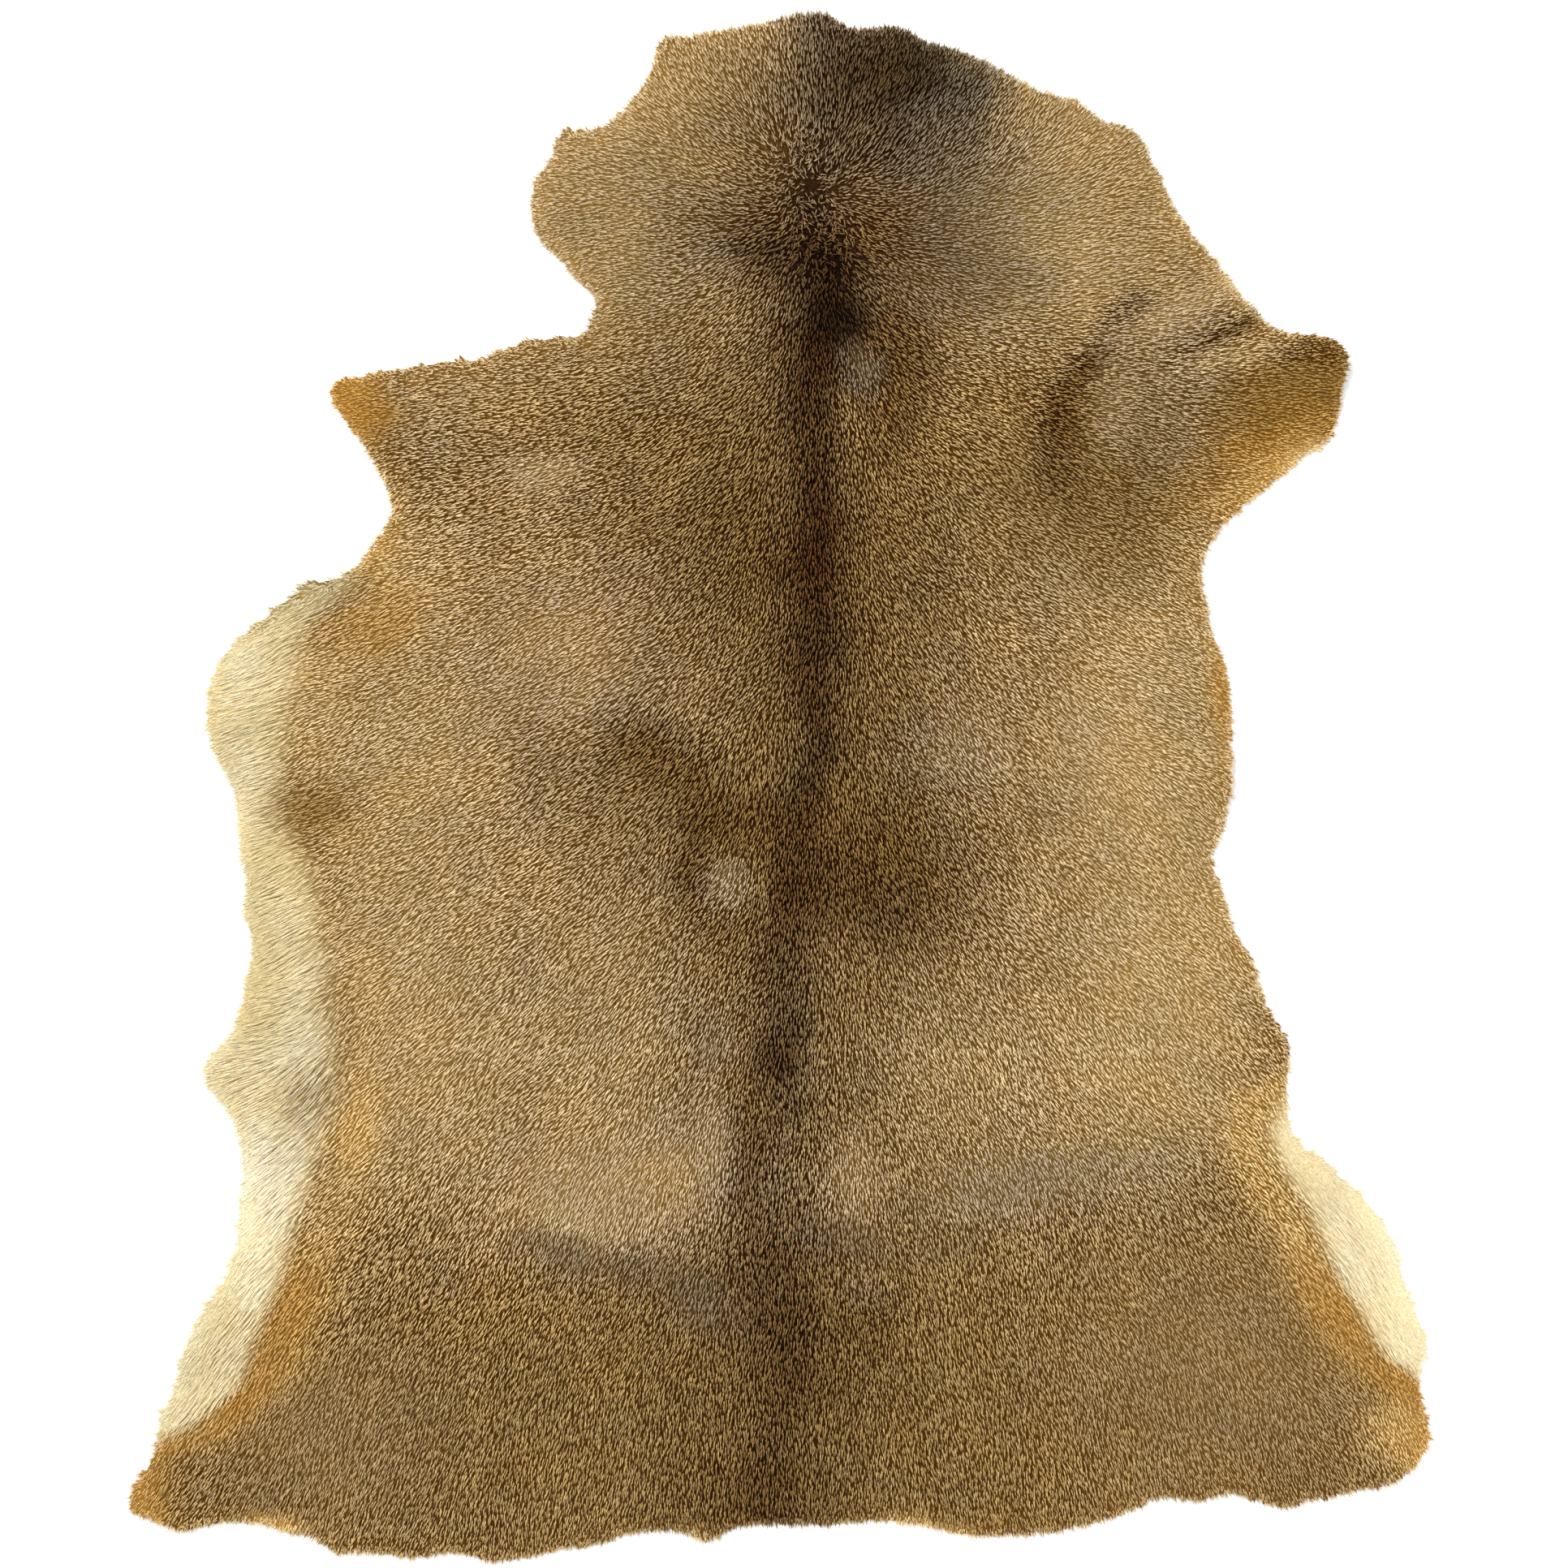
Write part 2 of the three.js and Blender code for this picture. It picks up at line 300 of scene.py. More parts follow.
# Laid after the stripe and the belly.
LATE_PATCHES = tuple(
    Patch(*row)
    for row in (
        (Tone.HONEY, -328, -275, 20, 44, 0.6, 10),  # honey over the belly fold
        (Tone.ASH, -44, 412, 20, 14, 0.6),  # grey whorl by the withers
        (Tone.BARK, 230, 320, 29, 12, 0.95, 48),  # shoulder crease, upper: painted shade in the crease
        (Tone.BARK, 211, 285, 13, 28, 1.0, -6),  # shoulder crease, lower: painted shade in the crease
        (Tone.BARK, 213, 245, 14, 26, 0.55, 10),  # shoulder crease, tail: painted shade in the crease
        (Tone.BARK, 265, 366, 18, 10, 0.8, 30),  # mark over the shoulder crease
        (Tone.ROSE, 306, 368, 46, 14, 0.9, 24),  # pale fold above the foreleg
        (Tone.BARK, 338, 348, 38, 5, 0.95, 24),  # crease above the foreleg: painted shade in the crease
        (Tone.BUFF, 350, 330, 38, 10, 0.75, 18),  # pale band on the foreleg
        (Tone.BARK, 412, 333, 34, 8, 0.55, -6),  # foreleg's dark upper edge
        (Tone.ROSE, 256, 288, 15, 30, 0.5, -10),  # painted highlight on the ridge behind the shoulder crease
        (Tone.ASH, 190, -300, 88, 24, 0.8, 10),  # right grey patch
        (Tone.ROSE, 58, -298, 21, 34, 0.6),  # right brushed patch
        (Tone.SMOKE, 56, -344, 32, 14, 0.6, -20),  # rim of the right brushed patch
        (Tone.SMOKE, 66, -384, 20, 12, 0.4, -20),  # grey below the right brushed patch
        (Tone.SMOKE, 130, -351, 28, 8, 0.3, 33),  # rim of the right grey patch
        (Tone.SMOKE, -168, -350, 34, 12, 0.6, -20),  # rim of the brushed patch, left
        (Tone.SMOKE, -110, -363, 42, 13, 0.6, -8),  # rim of the brushed patch, middle
        (Tone.SMOKE, -61, -390, 27, 16, 0.65, -48),  # rim of the brushed patch, right
        (Tone.BONE, -160, -332, 36, 6, 0.28, -18),  # pale tips at the brushed patch's rim
        (Tone.ROSE, -50, -262, 11, 40, 0.6),  # brushed patch, by the stripe
        (Tone.BARK, -23, -275, 13, 54, 0.75, -3),  # stripe beside the brushed patch
        (Tone.SEAL, 30, 396, 15, 22, 0.35),  # core of the withers
        (Tone.SEAL, 46, 364, 20, 18, 0.8),  # heart of the stripe
        (Tone.UMBER, -14, 418, 26, 6, 0.6, -4),  # left arm of the stripe
        (Tone.SMOKE, 62, 327, 11, 16, 0.8, 25),  # scuff by the withers
        (Tone.FAWN, 54, 290, 6, 16, 0.5, 20),  # golden hair under the scuff
        (Tone.BARK, -104, 30, 34, 22, 0.75, -20),  # left back blotch
        (Tone.BARK, -60, 2, 60, 22, 0.65, -50),  # from the left blotch to the stripe
        (Tone.BARK, -36, -22, 38, 20, 0.9),  # above the scuff on the back
        (Tone.BARK, -64, -62, 14, 36, 0.85),  # left of the scuff on the back
        (Tone.BARK, -34, -104, 28, 10, 0.6),  # below the scuff on the back
        (Tone.BARK, 84, -60, 64, 50, 0.9, -18),  # right back blotch
        (Tone.UMBER, 50, -80, 44, 32, 0.42, -15),  # heart of the right back blotch
        (Tone.ASH, -41, -71, 15, 17, 0.8, -20),  # scuff on the back
        (Tone.UMBER, -2, -201, 20, 16, 0.55),  # dark spot on the loin
        (Tone.TAWNY, -345, 161, 26, 4, 0.6, 22),  # shadow of the curled armpit edge
        (Tone.TAWNY, -386, 137, 24, 4, 0.6, 36),  # shadow of the armpit's rim
        (Tone.ASH, -336, 148, 28, 12, 0.55, 25),  # painted shade, grey, under the curled armpit edge
        (Tone.TAN, -356, -14, 26, 22, 0.75),  # left flank blotch
        (Tone.ASH, -354, -234, 20, 22, 0.5),  # painted shade, grey, on the lower side of the belly fold
        (Tone.SMOKE, -448, -352, 7, 60, 0.5, -24),  # dark tips on the belly's rim
        (Tone.BARK, 68, -402, 24, 15, 0.5),  # brown below the right brushed patch
        (Tone.HONEY, 366, 240, 50, 14, 0.45, 36),  # honey on the foreleg's lower edge
        (Tone.BONE, -440, -440, 18, 52, 0.6, -25),  # shade on the thigh's belly
        (Tone.CREAM, 415, 258, 26, 6, 0.9, 32),  # foreleg's cream rim
        (Tone.BONE, 352, 388, 8, 34, 0.9, 36),  # neck's cream rim
    )
)

STRIPE = tuple(
    StripeMark(*row)
    for row in (
        (600, 48, 32, 0.60, 0.30), (498, 30, 22, 0.50, 0.38), (450, 25, 18, 0.65, 0.35),
        (404, 31, 32, 1.00, 0.55), (357, 34, 30, 1.00, 0.65), (310, 28, 22, 0.90, 0.60),
        (263, 24, 22, 0.85, 0.60), (216, 30, 24, 0.95, 0.85), (169, 24, 25, 1.00, 0.85),
        (122, 27, 25, 0.85, 0.60), (75, 28, 22, 0.90, 0.46), (28, 31, 18, 0.80, 0.45),
        (-19, 14, 24, 0.90, 0.80), (-66, 16, 22, 1.00, 0.50), (-113, 8, 22, 0.70, 0.50),
        (-160, 4, 24, 0.60, 0.35), (-207, 6, 20, 0.80, 0.25), (-254, -4, 34, 0.55, 0.10),
        (-301, -1, 36, 0.60, 0.05), (-348, 1, 32, 0.65, 0.35), (-395, 2, 34, 0.60, 0.80),
        (-442, 7, 24, 0.60, 0.80), (-489, -3, 26, 0.45, 0.65), (-600, -8, 26, 0.50, 0.70),
    )
)

LEFT_BELLY = tuple(
    BellyMark(*row)
    for row in (
        (192, -460), (162, -320), (125, -360), (86, -366), (49, -373), (11, -377), (-27, -373),
        (-65, -354), (-102, -350), (-140, -345), (-208, -341), (-239, -337), (-271, -347), (-290, -358),
        (-318, -364), (-350, -375), (-396, -391), (-458, -420), (-502, -477), (-520, -520),
    )
)
RIGHT_BELLY = tuple(
    BellyMark(*row)
    for row in (
        (-190, 520), (-215, 430), (-232, 392), (-264, 376), (-283, 382), (-333, 413), (-383, 438),
        (-427, 464), (-458, 495), (-475, 530),
    )
)

LAYS = tuple(
    Lay(*row)
    for row in (
        (-82, 570, 125), (25, 576, 90), (106, 570, 75), (182, 532, 50), (257, 501, 30), (-151, 482, 178),
        (-176, 420, 192), (-50, 507, 150), (9, 505, 95), (106, 482, 60), (182, 432, 8), (276, 420, -5),
        (-100, 400, 188), (-38, 451, 165), (88, 432, 10), (-8, 470, 150), (0, 440, 205), (8, 412, 222),
        (20, 384, 240), (40, 478, 70), (52, 450, -15), (58, 424, -38), (64, 396, -48), (29, 440, 265),
        (36, 408, 265), (-25, 357, 218), (-100, 326, 202), (-194, 307, 192), (-320, 307, 182),
        (42, 345, -88), (85, 357, -38), (150, 357, -15), (244, 357, -4), (338, 338, 4), (414, 326, 0),
        (182, 263, -40), (276, 257, -20), (364, 257, -12), (-38, 231, 226), (-132, 200, 208),
        (-257, 200, 202), (-301, 257, 198), (28, 200, -90), (100, 200, -55), (213, 156, -38),
        (307, 137, -30), (-38, 75, 230), (-163, 75, 210), (-320, 75, 204), (-414, 75, 203),
        (25, 43, -90), (100, 43, -57), (213, 43, -42), (326, 43, -30), (-69, -82, 230), (-194, -82, 214),
        (-332, -70, 207), (-395, -82, 204), (19, -82, -91), (119, -82, -60), (244, -82, -46),
        (332, -82, -40), (-69, -239, 240), (-194, -208, 226), (-301, -176, 222), (-332, -239, 232),
        (-414, -201, 190), (-389, -258, 208), (12, -239, -92), (119, -239, -67), (244, -208, -56),
        (357, -208, -48), (-132, -396, 247), (-288, -396, 241), (-395, -333, 226), (-426, -427, 232),
        (0, -396, -92), (150, -396, -76), (307, -396, -64), (401, -333, -50), (464, -396, -56),
        (-163, -521, 259), (-351, -521, 249), (-477, -540, 236), (-6, -552, -90), (182, -533, -82),
        (338, -508, -75), (464, -496, -62),
    )
)


@dataclass
class HidePlan:
    """The hide's plan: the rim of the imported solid, the edge of the skin inside it, and the skin's heights.

    Attributes:
        node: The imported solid.
        hair_reach: How far hair tips reach past the skin's edge, in millimetres.
        edge_step: Distance between points of the edge, in millimetres.
        edge_softness: Distance over which the rim's tufts are smoothed away, in millimetres.
    """

    node: bpy.types.Object
    hair_reach: float = 5.0
    edge_step: float = 4.0
    edge_softness: float = 5.0
    edge: np.ndarray = field(init=False)

    # A face looks down if its normal's height is below this.
    DOWNWARD = -0.9
    # Points that are no further apart than this are one.
    SAME_PLACE = 1e-6
    # In millimetres: what is taken off every lift, so that the faintest lie flat.
    LIFT_CUT = 0.35
    # How near the edge the net's inner points come, as a share of its pitch.
    EDGE_GAP = 0.6
    # Where the smoothing's weights end, in edge softnesses.
    SOFTENED_AS_FAR_AS = 3

    def __post_init__(self) -> None:
        """Draws the skin's edge."""
        rim = self.smoothed(self.evenly(self.read_rim()))
        self.edge = self.smoothed(self.evenly(rim + self.inward(rim) * self.hair_reach))

    def read_rim(self) -> np.ndarray:
        """Reads the outline of the solid's flat underside.

        Returns:
            The outline's corners in order, counter-clockwise, in millimetres.
        """
        shell = bmesh.new()
        shell.from_mesh(self.node.data)
        bmesh.ops.remove_doubles(shell, verts=shell.verts, dist=self.SAME_PLACE)
        shell.normal_update()
        beside: dict[int, list[int]] = {}
        for edge in shell.edges:
            down = [face.normal.z < self.DOWNWARD for face in edge.link_faces]
            if len(down) == 2 and down[0] != down[1]:
                one, other = (vert.index for vert in edge.verts)
                beside.setdefault(one, []).append(other)
                beside.setdefault(other, []).append(one)
        shell.verts.ensure_lookup_table()
        order = [min(beside)]
        step = beside[order[0]][0]
        while step != order[0]:
            order.append(step)
            step = next(near for near in beside[step] if near != order[-2])
        rim = np.array([shell.verts[at].co[:2] for at in order]) / MM
        shell.free()
        after = np.roll(rim, -1, axis=0)
        turning = np.sum(rim[:, 0] * after[:, 1] - after[:, 0] * rim[:, 1])
        return rim if turning > 0 else rim[::-1]

    def evenly(self, loop: np.ndarray) -> np.ndarray:
        """Puts new points on a closed loop, edge_step apart."""
        closed = np.vstack([loop, loop[:1]])
        along = np.concatenate([[0.0], np.cumsum(np.linalg.norm(np.diff(closed, axis=0), axis=1))])
        stops = np.linspace(0.0, along[-1], round(along[-1] / self.edge_step), endpoint=False)
        return np.column_stack([np.interp(stops, along, closed[:, axis]) for axis in (0, 1)])

    def smoothed(self, loop: np.ndarray) -> np.ndarray:
        """Rounds off a closed loop of evenly spaced points, over edge_softness to each side."""
        reach = math.ceil(self.SOFTENED_AS_FAR_AS * self.edge_softness / self.edge_step)
        offsets = range(-reach, reach + 1)
        weights = [math.exp(-0.5 * (at * self.edge_step / self.edge_softness) ** 2) for at in offsets]
        total = sum(weight * np.roll(loop, at, axis=0) for at, weight in zip(offsets, weights))
        return total / sum(weights)

    @staticmethod
    def inward(loop: np.ndarray) -> np.ndarray:
        """Finds the way into a counter-clockwise loop at each of its points."""
        ahead = np.roll(loop, -1, axis=0) - np.roll(loop, 1, axis=0)
        left = np.column_stack([-ahead[:, 1], ahead[:, 0]])
        return left / np.linalg.norm(left, axis=1, keepdims=True)

    def nearest_edge(self, points: np.ndarray) -> tuple[np.ndarray, np.ndarray]:
        """Finds the nearest point of the skin's edge.

        Args:
            points: Places on the hide.

        Returns:
            The distance to the edge and the unit vector towards it, for each place.
        """
        tree = KDTree(len(self.edge))
        for at, (x, y) in enumerate(self.edge):
            tree.insert((x, y, 0.0), at)
        tree.balance()
        found = np.array([self.edge[tree.find((x, y, 0.0))[1]] for x, y in points])
        away = found - points
        distance = np.linalg.norm(away, axis=1)
        return distance, away / np.maximum(distance, self.SAME_PLACE)[:, None]

    def holds(self, points: np.ndarray) -> np.ndarray:
        """Tells which places lie inside the skin's edge."""
        inside = np.zeros(len(points), bool)
        for (x0, y0), (x1, y1) in zip(self.edge, np.roll(self.edge, -1, axis=0)):
            if y0 == y1:
                continue
            beside = (points[:, 1] < y0) != (points[:, 1] < y1)
            crossing = x0 + (points[:, 1] - y0) * (x1 - x0) / (y1 - y0)
            inside ^= beside & (points[:, 0] < crossing)
        return inside

    def net(self, pitch: float) -> tuple[np.ndarray, np.ndarray]:
        """Fills the skin's outline with even triangles.

        Args:
            pitch: Distance between points, in millimetres.

        Returns:
            The points, the edge's own first, and the corner numbers of each triangle.
        """
        low, high = self.edge.min(0), self.edge.max(0)
        row_gap = pitch * math.sqrt(3) / 2
        rows = np.arange(low[1], high[1], row_gap)
        across = np.arange(low[0], high[0], pitch)
        grid = np.array([(x + at % 2 * pitch / 2, y) for at, y in enumerate(rows) for x in across])
        grid = grid[self.holds(grid)]
        grid = grid[self.nearest_edge(grid)[0] > self.EDGE_GAP * pitch]
        points = np.vstack([self.edge, grid])
        count = len(self.edge)
        rim_edges = [(at, (at + 1) % count) for at in range(count)]
        made = delaunay_2d_cdt([Vector(p) for p in points], rim_edges, [], 1, self.SAME_PLACE)
        places = np.array([p[:] for p in made[0]])
        triangles = np.array(made[2])
        clockwise = doubled_areas(places, triangles) < 0
        triangles[clockwise] = triangles[clockwise][:, ::-1]
        return places, triangles

    def lift(self, points: np.ndarray) -> np.ndarray:
        """Works out how far the ripples and curled edges lift the skin off the floor, in millimetres."""
        total = np.zeros(len(points))
        for fold in FOLDS:
            total += fold.height * hill(away_from(points, fold.start, fold.end), fold.spread)
        return np.maximum(total - self.LIFT_CUT, 0.0)


def doubled_areas(places: np.ndarray, triangles: np.ndarray) -> np.ndarray:
    """Works out twice each flat triangle's area, less than 0 for one whose corners run clockwise."""
    one, two, three = (places[triangles[:, corner]] for corner in range(3))
    return np.cross(two - one, three - one)


@dataclass
class CoatChart:
    """The coat at many places: its colour, the way it lies, and how long and upright its hair is.

    Attributes:
        points: Places on the hide, in millimetres.
        edge_distance: How far each is from the skin's edge, in millimetres.
        tone: The coat's linear colour.
        crispness: How strongly pale and dark hairs mix.
        belly: The share of belly hair.
    """

    points: np.ndarray
    edge_distance: np.ndarray
    tone: np.ndarray = field(init=False)
    crispness: np.ndarray = field(init=False)
    belly: np.ndarray = field(init=False)

    # How far noise bends the markings' edges, and what share of that the belly and the late patches take.
    BENDS_ACROSS = (Drift(12.0, 45.0, 1.3), Drift(4.8, 14.0, 2.3))
    BENDS_ALONG = (Drift(12.0, 45.0, 3.3), Drift(4.8, 14.0, 4.3))
    BELLY_BEND = 0.3
    LATE_BEND = 0.4
    # How squarely a tone ends at its rim.
    PATCH_RIM = 3.0
    STRIPE_RIM = 2.5
    SHOULDER_RIM = 1.8
    # Half width of the brown to both sides of the stripe.
    SHOULDER_WIDTH = 62.0
    # The warm band lies this far inside the belly's edge and reaches this far. It grows towards the tail.
    BAND_INSIDE = 20.0
    BAND_REACH = 24.0
    HONEY_SHARE = Ramp(180.0, 260.0, 0.15, 0.60)
    OCHRE_SHARE = Ramp(330.0, 390.0, 0.0, 0.8)
    BELLY_EDGE = Ramp(-10.0, 9.0)
    # Clouds of cream lie over the bone of the belly, more of them towards the tail.
    CREAM_SHARE = Ramp(150.0, 330.0, 0.15, 0.75)
    CREAM_CLOUDS = Drift(0.5, 38.0, 5.3)
    # Clumps of hair that lean apart show more or less of their dark roots, least where the coat is calm.
    CLUMPS = (Drift(0.14, 60.0, 6.3), Drift(0.08, 22.0, 7.3), Drift(0.03, 9.0, 8.3))
    CALM_CLUMPS = 0.35
    # Where the coat is warmer, it has more red and less blue.
    WARMTH = Drift(0.10, 34.0, 9.3)
    WARMING = (0.4, 0.0, -1.0)
    # Single hairs are lighter than the coat, which lies in its own shade.
    GAIN = 1.12
    # The dark colour is the roots' and underfur's own, set darker still as painted shade for the gaps between
    # the locks.
    DARK_SHIFT = (0.26, 0.165, 0.035)
    PALE_SHIFT = (2.29, 2.66, 3.34)
    DARK_LIMIT = 0.9
    PALE_LIMIT = 0.93
    # How far a heading carries: over the first two distances, the second more strongly, and weakly beyond.
    LAY_REACH = 48.0
    LAY_CLOSE = 17.0
    CLOSE_WEIGHT = 4.0
    FAR_WEIGHT = 20.0
    FAR_EASE = 400.0
    FAR_FALL = 1.5
    # In degrees.
    SWAYS = (Drift(12.0, 40.0, 10.3), Drift(7.0, 13.0, 11.3))
    PARTING_SWAY = Drift(60.0, 20.0, 12.3)
    SLOPE = 18.0
    SLOPE_DRIFT = Drift(5.0, 30.0, 13.3)
    BELLY_SLOPE_CUT = 9.0
    SLOPE_SHARE = Ramp(0.0, 25.0, 0.25, 1.0)
    # In radians.
    STRAY = 0.16
    BELLY_CALM = 0.05
    PARTING_STRAY = 1.8
    # In millimetres, with the shares left by the trim at the edge and on the forelegs.
    LENGTH = 10.2
    BELLY_LENGTH = 11.3
    LENGTH_DRIFT = Drift(1.5, 50.0, 12.3)
    TRIM = 0.78
    BELLY_TRIM = 0.28
    TRIM_BAND = Ramp(4.0, 26.0)
    FORELEG_ACROSS = Ramp(270.0, 400.0)
    FORELEG_ALONG = Ramp(200.0, 260.0)
    FORELEG_CUT = 0.15
    WIDTH = 0.92
    BELLY_WIDTH = 0.13

    def __post_init__(self) -> None:
        """Paints the tones."""
        x, y = self.points.T
        self.tone = np.tile(GROUND.light, (len(x), 1))
        self.crispness = np.full(len(x), GROUND.crispness)
        bend_x = sum(bend.over(x, y) for bend in self.BENDS_ACROSS)
        bend_y = sum(bend.over(x, y) for bend in self.BENDS_ALONG)
        self.lay_patches(PATCHES, x + bend_x, y + bend_y)
        self.paint_stripe(x + bend_x, y + bend_y)
        self.paint_belly(x + self.BELLY_BEND * bend_x, y + self.BELLY_BEND * bend_y)
        self.lay_patches(LATE_PATCHES, x + self.LATE_BEND * bend_x, y + self.LATE_BEND * bend_y)
        self.mottle(x, y)

    def lay_tone(self, tone: Tone, share: np.ndarray) -> None:
        """Mixes a tone into the coat by the given shares."""
        self.tone += share[:, None] * (tone.light - self.tone)
        self.crispness += share * (tone.crispness - self.crispness)

    def lay_patches(self, patches: tuple[Patch, ...], x: np.ndarray, y: np.ndarray) -> None:
        """Lays patches over the coat, one after the other.

        Args:
            patches: The patches.
            x: Places across the hide.
            y: Places along the hide.
        """
        for patch in patches:
            turn = math.radians(patch.turn)
            u = ((x - patch.x) * math.cos(turn) + (y - patch.y) * math.sin(turn)) / patch.across
            v = ((y - patch.y) * math.cos(turn) - (x - patch.x) * math.sin(turn)) / patch.along
            self.lay_tone(patch.tone, patch.strength * bell(np.hypot(u, v), self.PATCH_RIM))

    def paint_stripe(self, x: np.ndarray, y: np.ndarray) -> None:
        """Lays the dark stripe down the back, over the softer brown to both sides of it."""
        heights, *columns = np.array(STRIPE)[::-1].T
        middle, half_width, strength, shoulders = (np.interp(y, heights, column) for column in columns)
        away = np.abs(x - middle)
        self.lay_tone(Tone.BARK, shoulders * bell(away / self.SHOULDER_WIDTH, self.SHOULDER_RIM))
        self.lay_tone(Tone.UMBER, strength * bell(away / half_width, self.STRIPE_RIM))

    def paint_belly(self, x: np.ndarray, y: np.ndarray) -> None:
        """Lays the cream belly along both sides, with a band of warm ochre between it and the brown coat."""
        left, right = (np.array(marks)[::-1].T for marks in (LEFT_BELLY, RIGHT_BELLY))
        past = np.maximum(np.interp(y, *left) - x, x - np.interp(y, *right))
        band = np.exp(-(((past + self.BAND_INSIDE) / self.BAND_REACH) ** 2))
        self.lay_tone(Tone.HONEY, band * self.HONEY_SHARE.at(-y))
        self.lay_tone(Tone.OCHRE, band * self.OCHRE_SHARE.at(-y))
        self.belly = self.BELLY_EDGE.at(past)
        self.lay_tone(Tone.BONE, self.belly)
        cream = self.CREAM_SHARE.at(-y) + self.CREAM_CLOUDS.over(x, y)
        self.lay_tone(Tone.CREAM, self.belly * np.clip(cream, 0.0, 1.0))

    def mottle(self, x: np.ndarray, y: np.ndarray) -> None:
        """Makes the coat uneven in lightness and warmth."""
        uneven = sum(clump.over(x, y) for clump in self.CLUMPS)
        uneven *= self.CALM_CLUMPS + (1.0 - self.CALM_CLUMPS) * self.crispness
        warming = self.WARMTH.over(x, y)[:, None] * np.array(self.WARMING)
        self.tone *= np.exp(uneven[:, None] + warming)

    def hair_colours(self) -> tuple[np.ndarray, np.ndarray]:
        """Works out the linear colours of the darkest and of the palest hairs."""
        power = self.crispness[:, None]
        dark = self.GAIN * self.tone * np.array(self.DARK_SHIFT) ** power
        pale = self.GAIN * self.tone * np.array(self.PALE_SHIFT) ** power
        return np.minimum(dark, self.DARK_LIMIT), np.minimum(pale, self.PALE_LIMIT)

    def parting(self, reach: float) -> np.ndarray:
        """Works out how near the parting at the withers is: 1 on it, 0.6 at the given reach."""
        return hill(away_from(self.points, *PARTING), reach)

    def comb(self) -> np.ndarray:
        """Works out the way in which the hair lies, as unit vectors across and along the hide."""
        pull = np.zeros((len(self.points), 2))
        for lay in LAYS:
            away = np.linalg.norm(self.points - (lay.x, lay.y), axis=1)
            weight = hill(away, self.LAY_REACH) + self.CLOSE_WEIGHT * hill(away, self.LAY_CLOSE)
            weight += self.FAR_WEIGHT / (away**2 + self.FAR_EASE) ** self.FAR_FALL
            heading = math.radians(lay.heading)
            pull += weight[:, None] * (math.cos(heading), math.sin(heading))
        x, y = self.points.T
        sway = sum(drift.over(x, y) for drift in self.SWAYS)
        sway += self.parting(PARTING_REACH) * self.PARTING_SWAY.over(x, y)
        heading = np.arctan2(pull[:, 1], pull[:, 0]) + np.radians(sway)
        return np.column_stack([np.cos(heading), np.sin(heading)])

    def unruliness(self) -> np.ndarray:
        """Works out how far single locks stray from the comb, in radians: most at the parting."""
        parting = self.parting(PARTING_REACH / 2)
        return self.STRAY - self.BELLY_CALM * self.belly + self.PARTING_STRAY * parting

    def hair_length(self) -> np.ndarray:
        """Works out how long the hair is, in millimetres: short on the back, long on the belly."""
        x, y = self.points.T
        length = self.LENGTH + self.BELLY_LENGTH * self.belly + self.LENGTH_DRIFT.over(x, y)
        foreleg = self.FORELEG_ACROSS.at(np.abs(x)) * self.FORELEG_ALONG.at(y)
        trim = self.TRIM - self.BELLY_TRIM * self.belly
        trim += (1.0 - trim) * self.TRIM_BAND.at(self.edge_distance)
        return length * trim * (1.0 - self.FORELEG_CUT * foreleg)

    def hair_width(self) -> np.ndarray:
        """Works out how wide a lock of hair is, in millimetres."""
        return self.WIDTH + self.BELLY_WIDTH * self.belly

    def rise(self) -> np.ndarray:
        """Works out how steeply the hair stands, in radians: flatter at the edge and on the belly."""
        slope = self.SLOPE + self.SLOPE_DRIFT.over(*self.points.T) - self.BELLY_SLOPE_CUT * self.belly
        return np.radians(slope * self.SLOPE_SHARE.at(self.edge_distance))


def add_node(
    tree: bpy.types.NodeTree, kind: str, inputs: dict | list | tuple = (), **settings: object
) -> bpy.types.Node:
    """Adds a node to a tree, with its settings, values and links.

    Args:
        tree: The node tree.
        kind: The node's type name.
        inputs: What each input gets, by its name or number, or in order from the first: a value, an output
            to link from, or a node whose first output it is linked from.
        **settings: The node's own properties.

    Returns:
        The new node.
    """
    node = tree.nodes.new(kind)
    for name, value in settings.items():
        setattr(node, name, value)
    for key, value in inputs.items() if isinstance(inputs, dict) else enumerate(inputs):
        if isinstance(value, bpy.types.Node):
            value = value.outputs[0]
        if isinstance(value, bpy.types.NodeSocket):
            tree.links.new(value, node.inputs[key])
        else:
            node.inputs[key].default_value = value
    return node


def new_material(
    name: str, roughness: float
) -> tuple[bpy.types.Material, bpy.types.NodeTree, bpy.types.Node]:
    """Starts a material.

    Args:
        name: The material's name.
        roughness: Its roughness.

    Returns:
        The material, its node tree and its main shader.
    """
    material = bpy.data.materials.new(name)
    material.use_nodes = True
    tree = material.node_tree
    shader = tree.nodes["Principled BSDF"]
    shader.inputs["Roughness"].default_value = roughness
    return material, tree, shader


def per_metre(size_mm: float) -> float:
    """Turns the size of a pattern in millimetres to a noise scale on coordinates in metres."""
    return 1.0 / (size_mm * MM)


